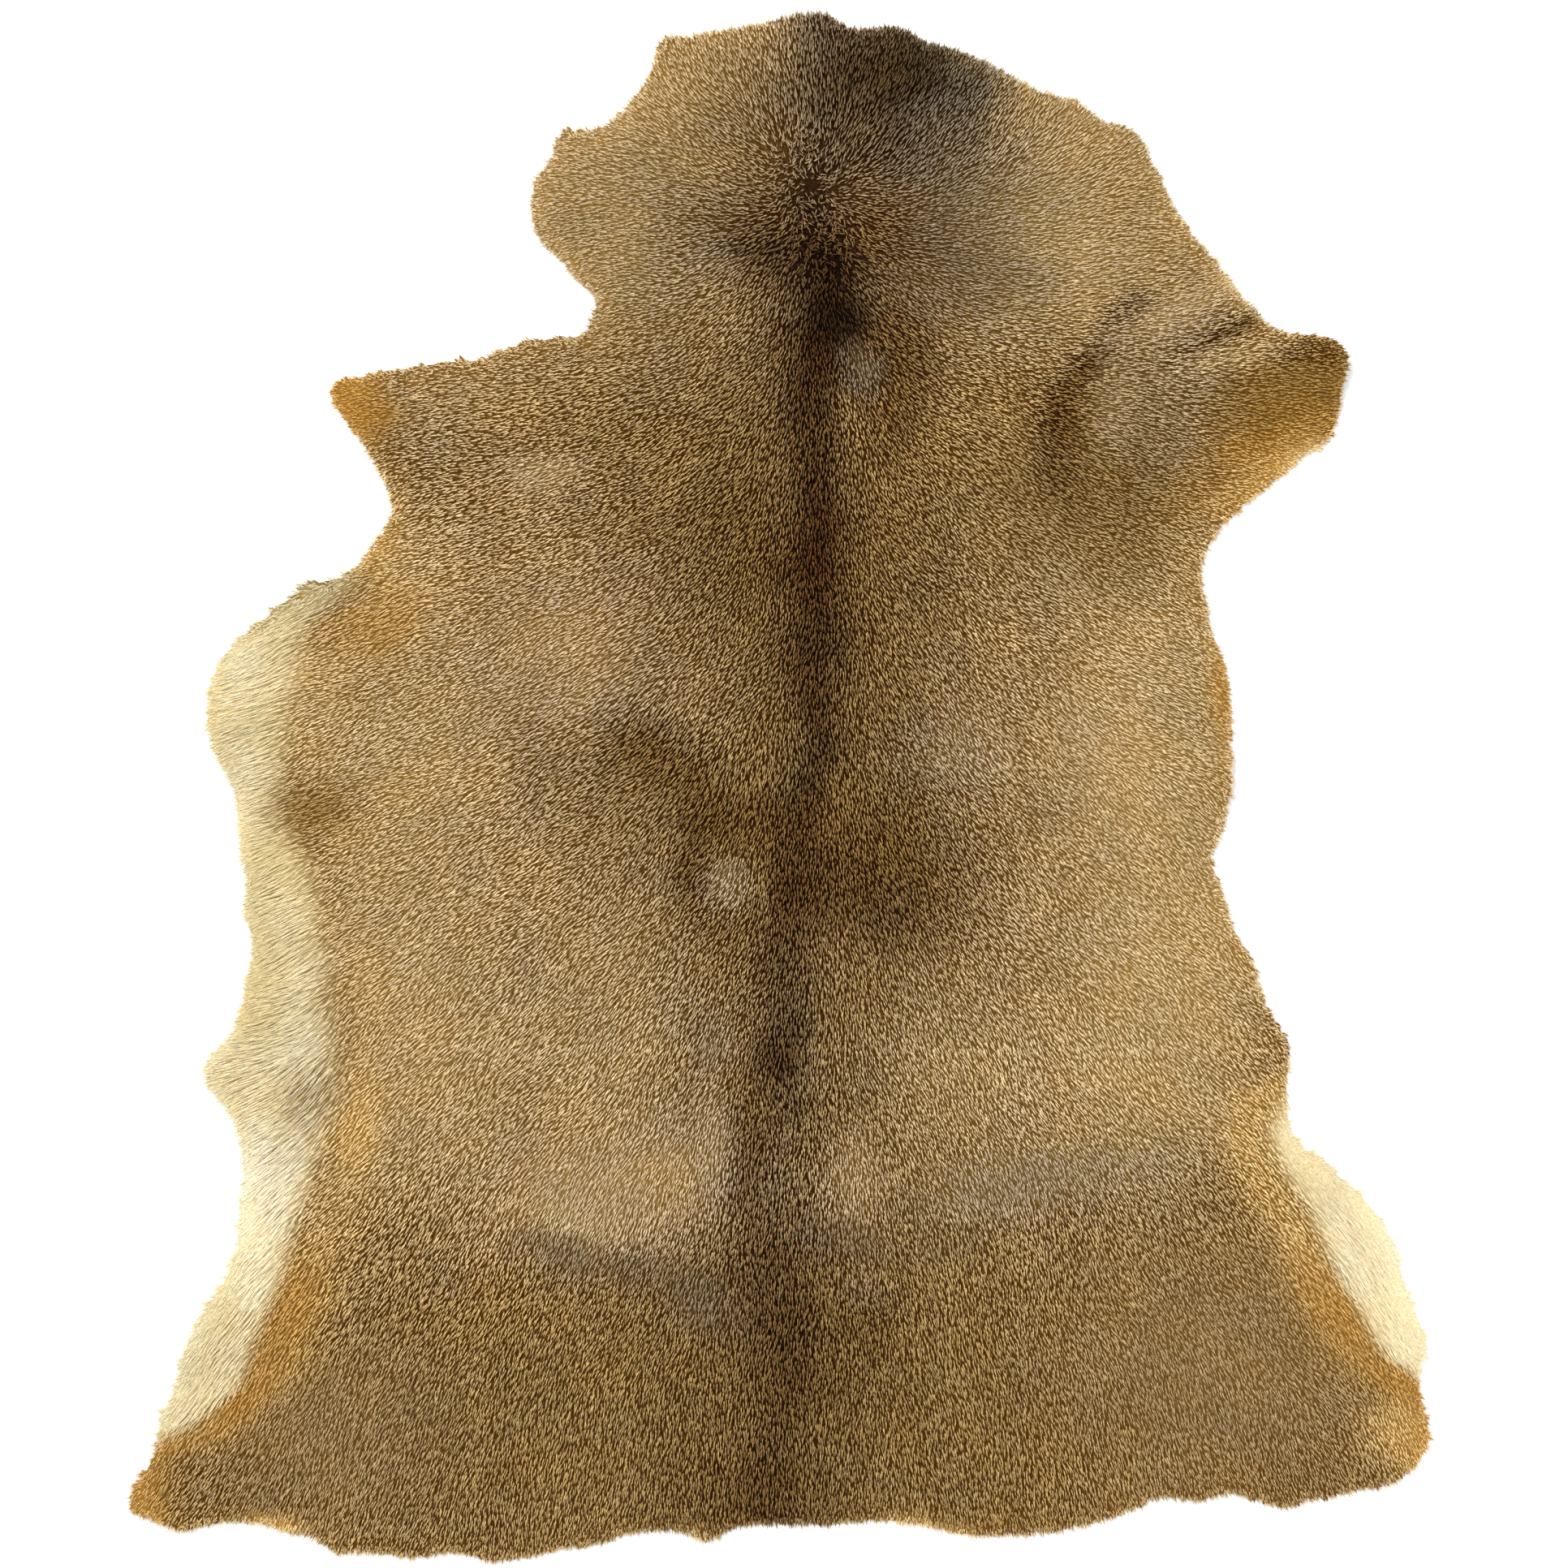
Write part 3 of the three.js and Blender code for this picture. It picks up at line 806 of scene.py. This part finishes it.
@dataclass(frozen=True)
class FinePattern:
    """Fine unevenness of a surface, which shades its colour and raises it.

    Attributes:
        size_mm: The size of its grains.
        detail: How many finer layers it has.
        darkest: What the colour is multiplied by in its hollows.
        lightest: What the colour is multiplied by on its crests.
        strength: How strongly it is raised.
        depth_mm: How high it stands.
    """

    size_mm: float
    detail: float
    darkest: float
    lightest: float
    strength: float
    depth_mm: float

    # The noise's values in a hollow and on a crest.
    HOLLOW = 0.3
    CREST = 0.7

    def dress(self, tree: bpy.types.NodeTree, shader: bpy.types.Node, colour: bpy.types.NodeSocket) -> None:
        """Gives a surface its shaded colour and its relief.

        Args:
            tree: The material's node tree.
            shader: The material's main shader.
            colour: The output that holds the surface's own colour.
        """
        node = partial(add_node, tree)
        place = node("ShaderNodeTexCoord").outputs["Object"]
        scale = per_metre(self.size_mm)
        grain = node("ShaderNodeTexNoise", {"Vector": place, "Scale": scale, "Detail": self.detail})
        shade = node("ShaderNodeMapRange", [grain, self.HOLLOW, self.CREST, self.darkest, self.lightest])
        shaded = node("ShaderNodeVectorMath", {0: colour, "Scale": shade}, operation="SCALE")
        relief = {"Height": grain, "Strength": self.strength, "Distance": self.depth_mm * MM}
        tree.links.new(shaded.outputs[0], shader.inputs["Base Color"])
        tree.links.new(node("ShaderNodeBump", relief).outputs[0], shader.inputs["Normal"])


@dataclass(frozen=True)
class DeerHair:
    """Deer's short summer coat on its tanned skin: hollow hairs, dark at the root and pale towards the tip.

    It gives the eye fine streaks that shift from straw to brown, with a soft, dry gleam.
    """

    name: str = "deer_hair_summer_coat"
    roughness: float = 0.62
    specular: float = 0.04
    streaks: FinePattern = FinePattern(1.6, 2.0, 0.86, 1.14, 0.5, 0.15)
    pale_from: float = 0.49
    pale_at: float = 0.65

    def build(self) -> bpy.types.Material:
        """Makes the material, which goes from each lock's own dark colour to its pale one."""
        material, tree, shader = new_material(self.name, self.roughness)
        node = partial(add_node, tree)
        dark, pale, along = (
            node("ShaderNodeAttribute", attribute_name=name) for name in ("dark", "pale", "along")
        )
        span = [along.outputs["Fac"], self.pale_from, self.pale_at]
        share = node("ShaderNodeMapRange", span, interpolation_type="SMOOTHSTEP")
        mixed = {MIX_SHARE: share, MIX_FROM: dark, MIX_TO: pale}
        own = node("ShaderNodeMix", mixed, data_type="RGBA").outputs[MIX_RESULT]
        self.streaks.dress(tree, shader, own)
        shader.inputs["Specular IOR Level"].default_value = self.specular
        return material


@dataclass(frozen=True)
class RootedGrain:
    """Grain side of the tanned skin between the hairs: matt, and as dark as the hair roots that crowd it, a
    colour that is partly theirs and partly painted shade deep in the coat.
    """

    name: str = "tanned_grain_with_hair_roots"
    roughness: float = 0.85
    specular: float = 0.10
    roots: FinePattern = FinePattern(2.2, 3.0, 0.6, 1.25, 0.6, 0.5)

    def build(self) -> bpy.types.Material:
        """Makes the material, which reads the skin's own colour."""
        material, tree, shader = new_material(self.name, self.roughness)
        own = add_node(tree, "ShaderNodeAttribute", attribute_name="root_colour")
        self.roots.dress(tree, shader, own.outputs["Color"])
        shader.inputs["Specular IOR Level"].default_value = self.specular
        return material


@dataclass(frozen=True)
class SuedeFlesh:
    """Flesh side of the tanned skin, buffed to suede: dry and pale, with cloudy stains and a short nap."""

    name: str = "buffed_suede_flesh_side"
    ground: str = "#c9b08a"
    stain: str = "#ab8d64"
    stain_from: float = 0.40
    stain_at: float = 0.66
    roughness: float = 0.92
    sheen: float = 0.25
    cloud_mm: float = 70.0
    cloud_detail: float = 6.0
    cloud_raggedness: float = 0.65
    nap: FinePattern = FinePattern(2.4, 3.0, 0.82, 1.10, 0.6, 0.35)

    def build(self) -> bpy.types.Material:
        """Makes the material."""
        material, tree, shader = new_material(self.name, self.roughness)
        node = partial(add_node, tree)
        clouds = node(
            "ShaderNodeTexNoise",
            {
                "Vector": node("ShaderNodeTexCoord").outputs["Object"],
                "Scale": per_metre(self.cloud_mm),
                "Detail": self.cloud_detail,
                "Roughness": self.cloud_raggedness,
            },
        )
        span = [clouds, self.stain_from, self.stain_at]
        share = node("ShaderNodeMapRange", span, interpolation_type="SMOOTHSTEP")
        mixed = {MIX_SHARE: share, MIX_FROM: linear(self.ground), MIX_TO: linear(self.stain)}
        tint = node("ShaderNodeMix", mixed, data_type="RGBA").outputs[MIX_RESULT]
        self.nap.dress(tree, shader, tint)
        shader.inputs["Sheen Weight"].default_value = self.sheen
        return material


@dataclass(frozen=True)
class PaintedFloor:
    """Plain floor, rolled with matt white paint: pale and even, so that it shows the hide's rim."""

    name: str = "matt_white_painted_floor"
    colour: str = "#f6f6f4"
    roughness: float = 0.9

    def build(self) -> bpy.types.Material:
        """Makes the material."""
        material, _, shader = new_material(self.name, self.roughness)
        shader.inputs["Base Color"].default_value = linear(self.colour)
        return material


def new_object(name: str, mesh: bpy.types.Mesh) -> bpy.types.Object:
    """Puts a mesh into the scene, in place."""
    made = bpy.data.objects.new(name, mesh)
    bpy.context.scene.collection.objects.link(made)
    return made


def set_point_values(mesh: bpy.types.Mesh, name: str, values: np.ndarray) -> None:
    """Stores a number, a vector or a colour for each vertex.

    Args:
        mesh: The mesh.
        name: The attribute's name.
        values: One row for each vertex: one number, three for a vector or four for a colour.
    """
    width = 1 if values.ndim == 1 else values.shape[1]
    kind, key = {1: ("FLOAT", "value"), 3: ("FLOAT_VECTOR", "vector"), 4: ("FLOAT_COLOR", "color")}[width]
    made = mesh.attributes.new(name, kind, "POINT")
    made.data.foreach_set(key, values.astype(np.float32).ravel())


def with_alpha(colours: np.ndarray) -> np.ndarray:
    """Adds a full alpha to each row of red, green and blue."""
    return np.column_stack([colours, np.ones(len(colours))])


@dataclass
class HideSkin:
    """The tanned skin: one thin sheet with a cut edge, hair roots above, their colour darkened as painted
    shade, and suede below.

    Attributes:
        plan: The hide's plan.
        pitch: Distance between the sheet's points, in millimetres.
        thickness: The skin's thickness, in millimetres.
        slack: How far the skin lies unevenly off the floor, in millimetres.
    """

    plan: HidePlan
    pitch: float = 9.0
    thickness: float = 1.4
    slack: Drift = Drift(0.5, 62.0, 14.3)

    def underside(self, points: np.ndarray) -> np.ndarray:
        """Works out the height of the skin's flesh side, in millimetres."""
        return self.plan.lift(points) + np.maximum(self.slack.over(*points.T), 0.0)

    def build(self) -> tuple[bpy.types.Object, float]:
        """Makes the skin.

        Returns:
            The skin's object and its flat area in square metres.
        """
        points, triangles = self.plan.net(self.pitch)
        low = self.underside(points)
        count, rim = len(points), len(self.plan.edge)
        below = np.column_stack([points, low]) * MM
        above = np.column_stack([points, low + self.thickness]) * MM
        walls = []
        for at in range(rim):
            after = (at + 1) % rim
            walls += [(at, after, after + count), (at, after + count, at + count)]
        faces = [*triangles[:, ::-1].tolist(), *(triangles + count).tolist(), *walls]
        mesh = bpy.data.meshes.new("hide_skin")
        mesh.from_pydata(np.vstack([below, above]).tolist(), [], faces)
        for finish in (RootedGrain(), SuedeFlesh()):
            mesh.materials.append(finish.build())
        slots = np.ones(len(faces), np.int32)
        slots[len(triangles) : 2 * len(triangles)] = 0
        mesh.polygons.foreach_set("material_index", slots)
        chart = CoatChart(points, self.plan.nearest_edge(points)[0])
        # The skin's top takes the darkest hair colour: the roots' own, darkened as painted shade deep in the
        # coat.
        root = with_alpha(chart.hair_colours()[0])
        set_point_values(mesh, "root_colour", np.vstack([root, root]))
        area = float(doubled_areas(points, triangles).sum() / 2 * MM * MM)
        return new_object("hide_skin", mesh), area


@dataclass(frozen=True)
class HairKind:
    """One kind of hair in the coat.

    Attributes:
        spacing: Name of the input that keeps its locks apart.
        seed: Keeps its scatter unlike that of the other kind.
        length: Its length, as a share of the chart's.
        width: Its width, as a share of the chart's.
        rise: Its slope, as a share of the chart's.
        dullest: The least share of the pale colour at a tip.
        brightest: The greatest share of the pale colour at a tip.
    """

    spacing: str
    seed: int
    length: float
    width: float
    rise: float
    dullest: float
    brightest: float


GUARD = HairKind("Guard hair spacing", 11, 1.0, 1.0, 1.0, 0.55, 1.28)
# Underfur: dark locks, partly their own colour and partly painted shade between the guard hairs.
UNDER = HairKind("Underfur spacing", 41, 0.70, 2.4, 0.45, 0.0, 0.35)


class GrowthTree:
    """Geometry Nodes tree that grows the hair: guard hair with pale tips over darker underfur."""

    NUMBERS = {
        GUARD.spacing: 1.86 * MM,
        UNDER.spacing: 2.45 * MM,
        "Tries per square metre": 1.0e6,
        "Turn scatter": 1.0,
        "Rise scatter": 0.10,
        "Length scatter": 0.22,
        "Width scatter": 0.20,
    }
    CHARTS = {
        "comb": "FLOAT_VECTOR",
        "length": "FLOAT",
        "width": "FLOAT",
        "rise": "FLOAT",
        "unruly": "FLOAT",
        "paleness": "FLOAT",
        "dark": "FLOAT_COLOR",
        "pale": "FLOAT_COLOR",
    }
    # The least height of a lock, and the least X and Y, which are far outside the hide and hold nothing back.
    CLEAR_OF_FLOOR = 0.1 * MM
    ANYWHERE = -10.0
    # The least slope of a lock, in radians.
    FLATTEST = 0.02

    def __init__(self) -> None:
        """Builds the tree."""
        self.group = bpy.data.node_groups.new("hair_growth", "GeometryNodeTree")
        self.sockets: dict[str, str] = {}
        self.add_socket("Skin", "NodeSocketGeometry")
        for name, value in self.NUMBERS.items():
            self.add_socket(name, "NodeSocketFloat", value)
        self.add_socket("Seed", "NodeSocketInt", 1)
        self.add_socket("Lock", "NodeSocketObject")
        self.add_socket("Finish", "NodeSocketMaterial")
        self.group.interface.new_socket("Coat", in_out="OUTPUT", socket_type="NodeSocketGeometry")
        self.charts = {
            name: add_node(self.group, "GeometryNodeInputNamedAttribute", {"Name": name}, data_type=kind)
            for name, kind in self.CHARTS.items()
        }
        self.wire()

    def add_socket(self, name: str, kind: str, value: float | int | None = None) -> None:
        """Adds a named input to the tree and notes its identifier."""
        socket = self.group.interface.new_socket(name, in_out="INPUT", socket_type=kind)
        if value is not None:
            socket.default_value = value
        self.sockets[name] = socket.identifier

    def wire(self) -> None:
        """Adds the tree's nodes and links them."""
        node = partial(add_node, self.group)
        given = node("NodeGroupInput").outputs
        both = node("GeometryNodeJoinGeometry")
        for kind in (UNDER, GUARD):
            self.group.links.new(self.locks(kind, given).outputs[0], both.inputs[0])
        coat = node("GeometryNodeRealizeInstances", [both])
        lowest = node("ShaderNodeCombineXYZ", [self.ANYWHERE, self.ANYWHERE, self.CLEAR_OF_FLOOR])
        place = node("GeometryNodeInputPosition")
        kept_up = node("ShaderNodeVectorMath", [place, lowest], operation="MAXIMUM")
        laid = node("GeometryNodeSetPosition", {"Geometry": coat, "Position": kept_up})
        dressed = {"Geometry": self.coloured(laid), "Material": given["Finish"]}
        node("NodeGroupOutput", [node("GeometryNodeSetMaterial", dressed)])

    def locks(self, kind: HairKind, given: bpy.types.bpy_prop_collection) -> bpy.types.Node:
        """Sets one kind of hair over the skin.

        Args:
            kind: The kind of hair.
            given: The tree's inputs.

        Returns:
            The node that gives a lock for each seeded point.
        """
        node = partial(add_node, self.group)
        chart = self.charts
        seed = node("ShaderNodeMath", [given["Seed"], float(kind.seed)], operation="ADD")
        roots = node(
            "GeometryNodeDistributePointsOnFaces",
            {
                "Mesh": given["Skin"],
                "Distance Min": given[kind.spacing],
                "Density Max": given["Tries per square metre"],
                "Seed": seed,
            },
            distribute_method="POISSON",
        )
        up = roots.outputs["Normal"]
        spans = [(-1.0, 1.0)] * 4 + [(kind.dullest, kind.brightest)]
        astray, steeper, longer, wider, paleness = (
            node(
                "FunctionNodeRandomValue", {DRAW_LOW: low, DRAW_HIGH: high, "Seed": kind.seed + at}
            ).outputs[DRAW_RESULT]
            for at, (low, high) in enumerate(spans)
        )
        stray = node("ShaderNodeMath", [given["Turn scatter"], astray], operation="MULTIPLY")
        turn = node("ShaderNodeMath", [stray, chart["unruly"]], operation="MULTIPLY")
        turned = node("ShaderNodeVectorRotate", {"Vector": chart["comb"], "Axis": up, "Angle": turn})
        stand = node("ShaderNodeVectorMath", [turned, up], operation="DOT_PRODUCT").outputs["Value"]
        upright = node("ShaderNodeVectorMath", {0: up, "Scale": stand}, operation="SCALE")
        lying = node("ShaderNodeVectorMath", [turned, upright], operation="SUBTRACT")
        flat = node("ShaderNodeVectorMath", [lying], operation="NORMALIZE")
        scatter = node("ShaderNodeMath", [given["Rise scatter"], steeper], operation="MULTIPLY")
        slope = node("ShaderNodeMath", [chart["rise"], kind.rise, scatter], operation="MULTIPLY_ADD")
        risen = node("ShaderNodeMath", [slope, self.FLATTEST], operation="MAXIMUM")
        climb = node("ShaderNodeMath", [risen], operation="TANGENT")
        lifted = node("ShaderNodeVectorMath", {0: up, "Scale": climb}, operation="SCALE")
        way = node("ShaderNodeVectorMath", [flat, lifted], operation="ADD")
        axes = {"Primary Axis": way, "Secondary Axis": up}
        facing = node("FunctionNodeAxesToRotation", axes, primary_axis="X", secondary_axis="Z")
        sizes = []
        for name, share, draw in (("length", kind.length, longer), ("width", kind.width, wider)):
            uneven = [given[name.capitalize() + " scatter"], draw, 1.0]
            own = node("ShaderNodeMath", [chart[name], share], operation="MULTIPLY")
            factor = node("ShaderNodeMath", uneven, operation="MULTIPLY_ADD")
            sizes.append(node("ShaderNodeMath", [own, factor], operation="MULTIPLY"))
        size = node("ShaderNodeCombineXYZ", [sizes[0], sizes[1], sizes[1]])
        marks = {"Geometry": roots, "Name": "paleness", "Value": paleness}
        marked = node("GeometryNodeStoreNamedAttribute", marks, data_type="FLOAT", domain="POINT")
        lock = node("GeometryNodeObjectInfo", {"Object": given["Lock"]}).outputs["Geometry"]
        placed = {"Points": marked, "Instance": lock, "Rotation": facing, "Scale": size}
        return node("GeometryNodeInstanceOnPoints", placed)

    def coloured(self, coat: bpy.types.Node) -> bpy.types.Node:
        """Makes some locks paler than others, and drops the charts that aren't colours.

        Args:
            coat: The node that gives the realized locks.

        Returns:
            The node that gives the coloured locks.
        """
        node = partial(add_node, self.group)
        paleness, dark, pale = (self.charts[name] for name in ("paleness", "dark", "pale"))
        mixed = {MIX_SHARE: paleness, MIX_FROM: dark, MIX_TO: pale}
        colour = node("ShaderNodeMix", mixed, data_type="RGBA", clamp_factor=False).outputs[MIX_RESULT]
        values = {"Geometry": coat, "Name": "pale", "Value": colour}
        stored = node("GeometryNodeStoreNamedAttribute", values, data_type="FLOAT_COLOR", domain="POINT")
        for name, kind in self.CHARTS.items():
            if kind != "FLOAT_COLOR":
                stored = node("GeometryNodeRemoveAttribute", {"Geometry": stored, "Name": name})
        return stored

    def grow(self, name: str, skin: bpy.types.Mesh, values: dict[str, object]) -> bpy.types.Object:
        """Grows a coat and makes it a plain mesh.

        Args:
            name: The new piece's name.
            skin: The skin that it grows on, with its charts as attributes.
            values: A value for each of the tree's inputs that isn't left as it is, by name.

        Returns:
            The coat's object.
        """
        bed = new_object(name + "_bed", skin)
        growth = bed.modifiers.new("growth", "NODES")
        growth.node_group = self.group
        for key, value in values.items():
            growth[self.sockets[key]] = value
        graph = bpy.context.evaluated_depsgraph_get()
        grown = bed.evaluated_get(graph)
        mesh = bpy.data.meshes.new_from_object(grown, preserve_all_data_layers=True, depsgraph=graph)
        bed.modifiers.remove(growth)
        bpy.data.objects.remove(bed)
        bpy.data.meshes.remove(skin)
        mesh.name = name
        return new_object(name, mesh)


@dataclass
class HairLock:
    """One flat, pointed lock of hair with a ridge along its back, a unit long and wide.

    Attributes:
        root: How far its root reaches back into the skin.
        widest: Where along its length it is widest.
        keel: How far its edges hang below the ridge.
    """

    root: float = 0.06
    widest: float = 0.62
    keel: float = 0.40

    def build(self) -> bpy.types.Object:
        """Makes the lock, which lies along +X from its root."""
        edges = [(self.widest, side, -self.keel) for side in (0.5, -0.5)]
        faces = [(0, 3, 1), (0, 2, 3), (0, 1, 2), (3, 2, 1)]
        mesh = bpy.data.meshes.new("hair_lock")
        mesh.from_pydata([(-self.root, 0.0, 0.0), *edges, (1.0, 0.0, 0.0)], [], faces)
        set_point_values(mesh, "along", np.array([0.0, self.widest, self.widest, 1.0]))
        return new_object("hair_lock", mesh)


@dataclass
class Coat:
    """The hair on the skin, in zones from neck to rump, and the fringe that it makes past the skin's edge.

    Attributes:
        plan: The hide's plan.
        skin: The skin that it grows on.
        pitch: Distance between the points of its charts, in millimetres.
        fringe_spacing: Least distance between two locks of the fringe, in millimetres.
        fringe_band: Width of the strip along the skin's edge that the fringe grows on, in millimetres.
        fringe_outward: How far the fringe is turned straight out over the edge, from 0 to 1.
        fringe_seed: Keeps the fringe's scatter unlike that of the zones.
    """

    plan: HidePlan
    skin: HideSkin
    pitch: float = 5.0
    fringe_spacing: float = 1.6
    fringe_band: float = 6.0
    fringe_outward: float = 0.5
    fringe_seed: int = 31

    ZONES = ("rump", "loin", "back", "shoulders", "neck")

    def charted(
        self, points: np.ndarray, triangles: np.ndarray, name: str, outward: float
    ) -> bpy.types.Mesh:
        """Makes a stretch of skin that carries the coat's charts.

        Args:
            points: Places on the hide.
            triangles: The corner numbers of each triangle.
            name: The mesh's name.
            outward: How far the hair is turned straight out over the skin's edge, from 0 to 1.

        Returns:
            The mesh, with an attribute for each chart.
        """
        used, corners = np.unique(triangles, return_inverse=True)
        points, triangles = points[used], corners.reshape(triangles.shape)
        distance, way_out = self.plan.nearest_edge(points)
        chart = CoatChart(points, distance)
        top = self.skin.underside(points) + self.skin.thickness
        mesh = bpy.data.meshes.new(name)
        mesh.from_pydata((np.column_stack([points, top]) * MM).tolist(), [], triangles.tolist())
        comb = (1.0 - outward) * chart.comb() + outward * way_out
        dark, pale = chart.hair_colours()
        for title, values in (
            ("comb", np.column_stack([comb, np.zeros(len(comb))])),
            ("length", chart.hair_length() * MM),
            ("width", chart.hair_width() * MM),
            ("rise", chart.rise()),
            ("unruly", chart.unruliness()),
            ("dark", with_alpha(dark)),
            ("pale", with_alpha(pale)),
        ):
            set_point_values(mesh, title, values)
        return mesh

    def build(self) -> list[bpy.types.Object]:
        """Grows the zones' coats and the fringe."""
        points, triangles = self.plan.net(self.pitch)
        middles = points[triangles].mean(axis=1)
        order = np.argsort(points[triangles][:, :, 1].mean(axis=1), kind="stable")
        tree = GrowthTree()
        lock = HairLock().build()
        shared = {"Lock": lock, "Finish": DeerHair().build()}
        pieces = []
        zones = zip(self.ZONES, np.array_split(order, len(self.ZONES)))
        for seed, (zone, share) in enumerate(zones, start=1):
            bed = self.charted(points, triangles[share], zone, 0.0)
            pieces.append(tree.grow("coat_" + zone, bed, {**shared, "Seed": seed}))
        band = triangles[self.plan.nearest_edge(middles)[0] < self.fringe_band]
        bed = self.charted(points, band, "fringe", self.fringe_outward)
        close = {kind.spacing: self.fringe_spacing * MM for kind in (GUARD, UNDER)}
        pieces.append(tree.grow("coat_fringe", bed, {**shared, "Seed": self.fringe_seed, **close}))
        bpy.data.objects.remove(lock)
        return pieces


class SoftBox(NamedTuple):
    """A broad studio light: its place and width in metres, and its power in watts."""

    name: str
    place: tuple[float, float, float]
    width: float
    power: float


@dataclass
class Studio:
    """The floor, the lights and the camera straight above the hide.

    Attributes:
        floor_size: Width of the floor, in metres.
        floor_drop: How far the floor lies under the hide, in metres.
        lens: The camera's focal length, in millimetres.
        view_width: Width of what the picture shows at the floor, in metres.
        view_middle: The place under the middle of the picture, in metres.
        room_colour: The colour of the room's own light.
        room_light: The strength of the room's own light.
    """

    floor_size: float = 12.0
    floor_drop: float = 0.3 * MM
    lens: float = 50.0
    view_width: float = 1.2113
    view_middle: tuple[float, float] = (0.0034, 0.0019)
    room_colour: str = "#fdfdff"
    room_light: float = 0.75

    LIGHTS = (
        SoftBox("key_softbox", (-1.5, 1.7, 2.3), 1.6, 95.0),
        SoftBox("fill_softbox", (1.8, -1.3, 2.4), 2.4, 36.0),
    )

    def build(self) -> None:
        """Sets the whole studio up."""
        self.build_camera()
        self.build_floor()
        self.build_lights()

    def build_camera(self) -> None:
        """Hangs the camera over the hide, looking straight down with the neck at the top of the picture."""
        data = bpy.data.cameras.new("overhead_camera")
        data.lens = self.lens
        camera = bpy.data.objects.new("overhead_camera", data)
        height = self.view_width * self.lens / data.sensor_width
        camera.location = (*self.view_middle, height)
        bpy.context.scene.collection.objects.link(camera)
        bpy.context.scene.camera = camera

    def build_floor(self) -> None:
        """Lays the floor just under the hide."""
        half = self.floor_size / 2
        mesh = bpy.data.meshes.new("studio_floor")
        corners = ((-half, -half), (half, -half), (half, half), (-half, half))
        mesh.from_pydata([(*corner, -self.floor_drop) for corner in corners], [], [(0, 1, 2, 3)])
        mesh.materials.append(PaintedFloor().build())
        new_object("studio_floor", mesh)

    def build_lights(self) -> None:
        """Hangs two broad soft boxes and turns the room's own light on."""
        for box in self.LIGHTS:
            data = bpy.data.lights.new(box.name, "AREA")
            data.shape = "SQUARE"
            data.size = box.width
            data.energy = box.power
            light = bpy.data.objects.new(box.name, data)
            light.location = box.place
            light.rotation_euler = (-Vector(box.place)).to_track_quat("-Z", "Y").to_euler()
            bpy.context.scene.collection.objects.link(light)
        world = bpy.data.worlds.new("studio_room")
        world.use_nodes = True
        background = world.node_tree.nodes["Background"]
        background.inputs["Color"].default_value = linear(self.room_colour)
        background.inputs["Strength"].default_value = self.room_light
        bpy.context.scene.world = world
        bpy.context.scene.view_settings.view_transform = "Standard"


def map_from_above(piece: bpy.types.Object) -> None:
    """Gives a piece a texture map as seen from above, with its downward faces beside the others.

    Args:
        piece: The piece to map.
    """
    mesh = piece.data
    corner_points = np.empty(len(mesh.loops), np.int32)
    mesh.loops.foreach_get("vertex_index", corner_points)
    places = np.empty(3 * len(mesh.vertices), np.float32)
    mesh.vertices.foreach_get("co", places)
    plan = places.reshape(-1, 3)[corner_points, :2]
    low, high = plan.min(0), plan.max(0)
    shares = (plan - low) / (high - low)
    down = np.empty(3 * len(mesh.polygons), np.float32)
    mesh.polygons.foreach_get("normal", down)
    sides = np.empty(len(mesh.polygons), np.int32)
    mesh.polygons.foreach_get("loop_total", sides)
    below = np.repeat(down.reshape(-1, 3)[:, 2] < 0.0, sides)
    shares[:, 0] = (shares[:, 0] + below) / 2
    layer = mesh.uv_layers.new(name="OFBake")
    layer.data.foreach_set("uv", shares.astype(np.float32).ravel())


def main() -> None:
    """Builds the rug and the studio, and reports each piece."""
    logging.basicConfig(level=logging.INFO, format="%(name)s: %(message)s")
    Studio().build()
    plan = HidePlan(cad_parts["hide"])
    skin = HideSkin(plan)
    sheet, area = skin.build()
    coats = Coat(plan, skin).build()
    for piece in (sheet, *coats):
        map_from_above(piece)
        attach(piece, BODY)
        LOG.info("%s: %d faces", piece.name, len(piece.data.polygons))
    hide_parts("hide")
    LOG.info("skin: %.3f square metres", area)


if __name__ == "__main__":
    main()
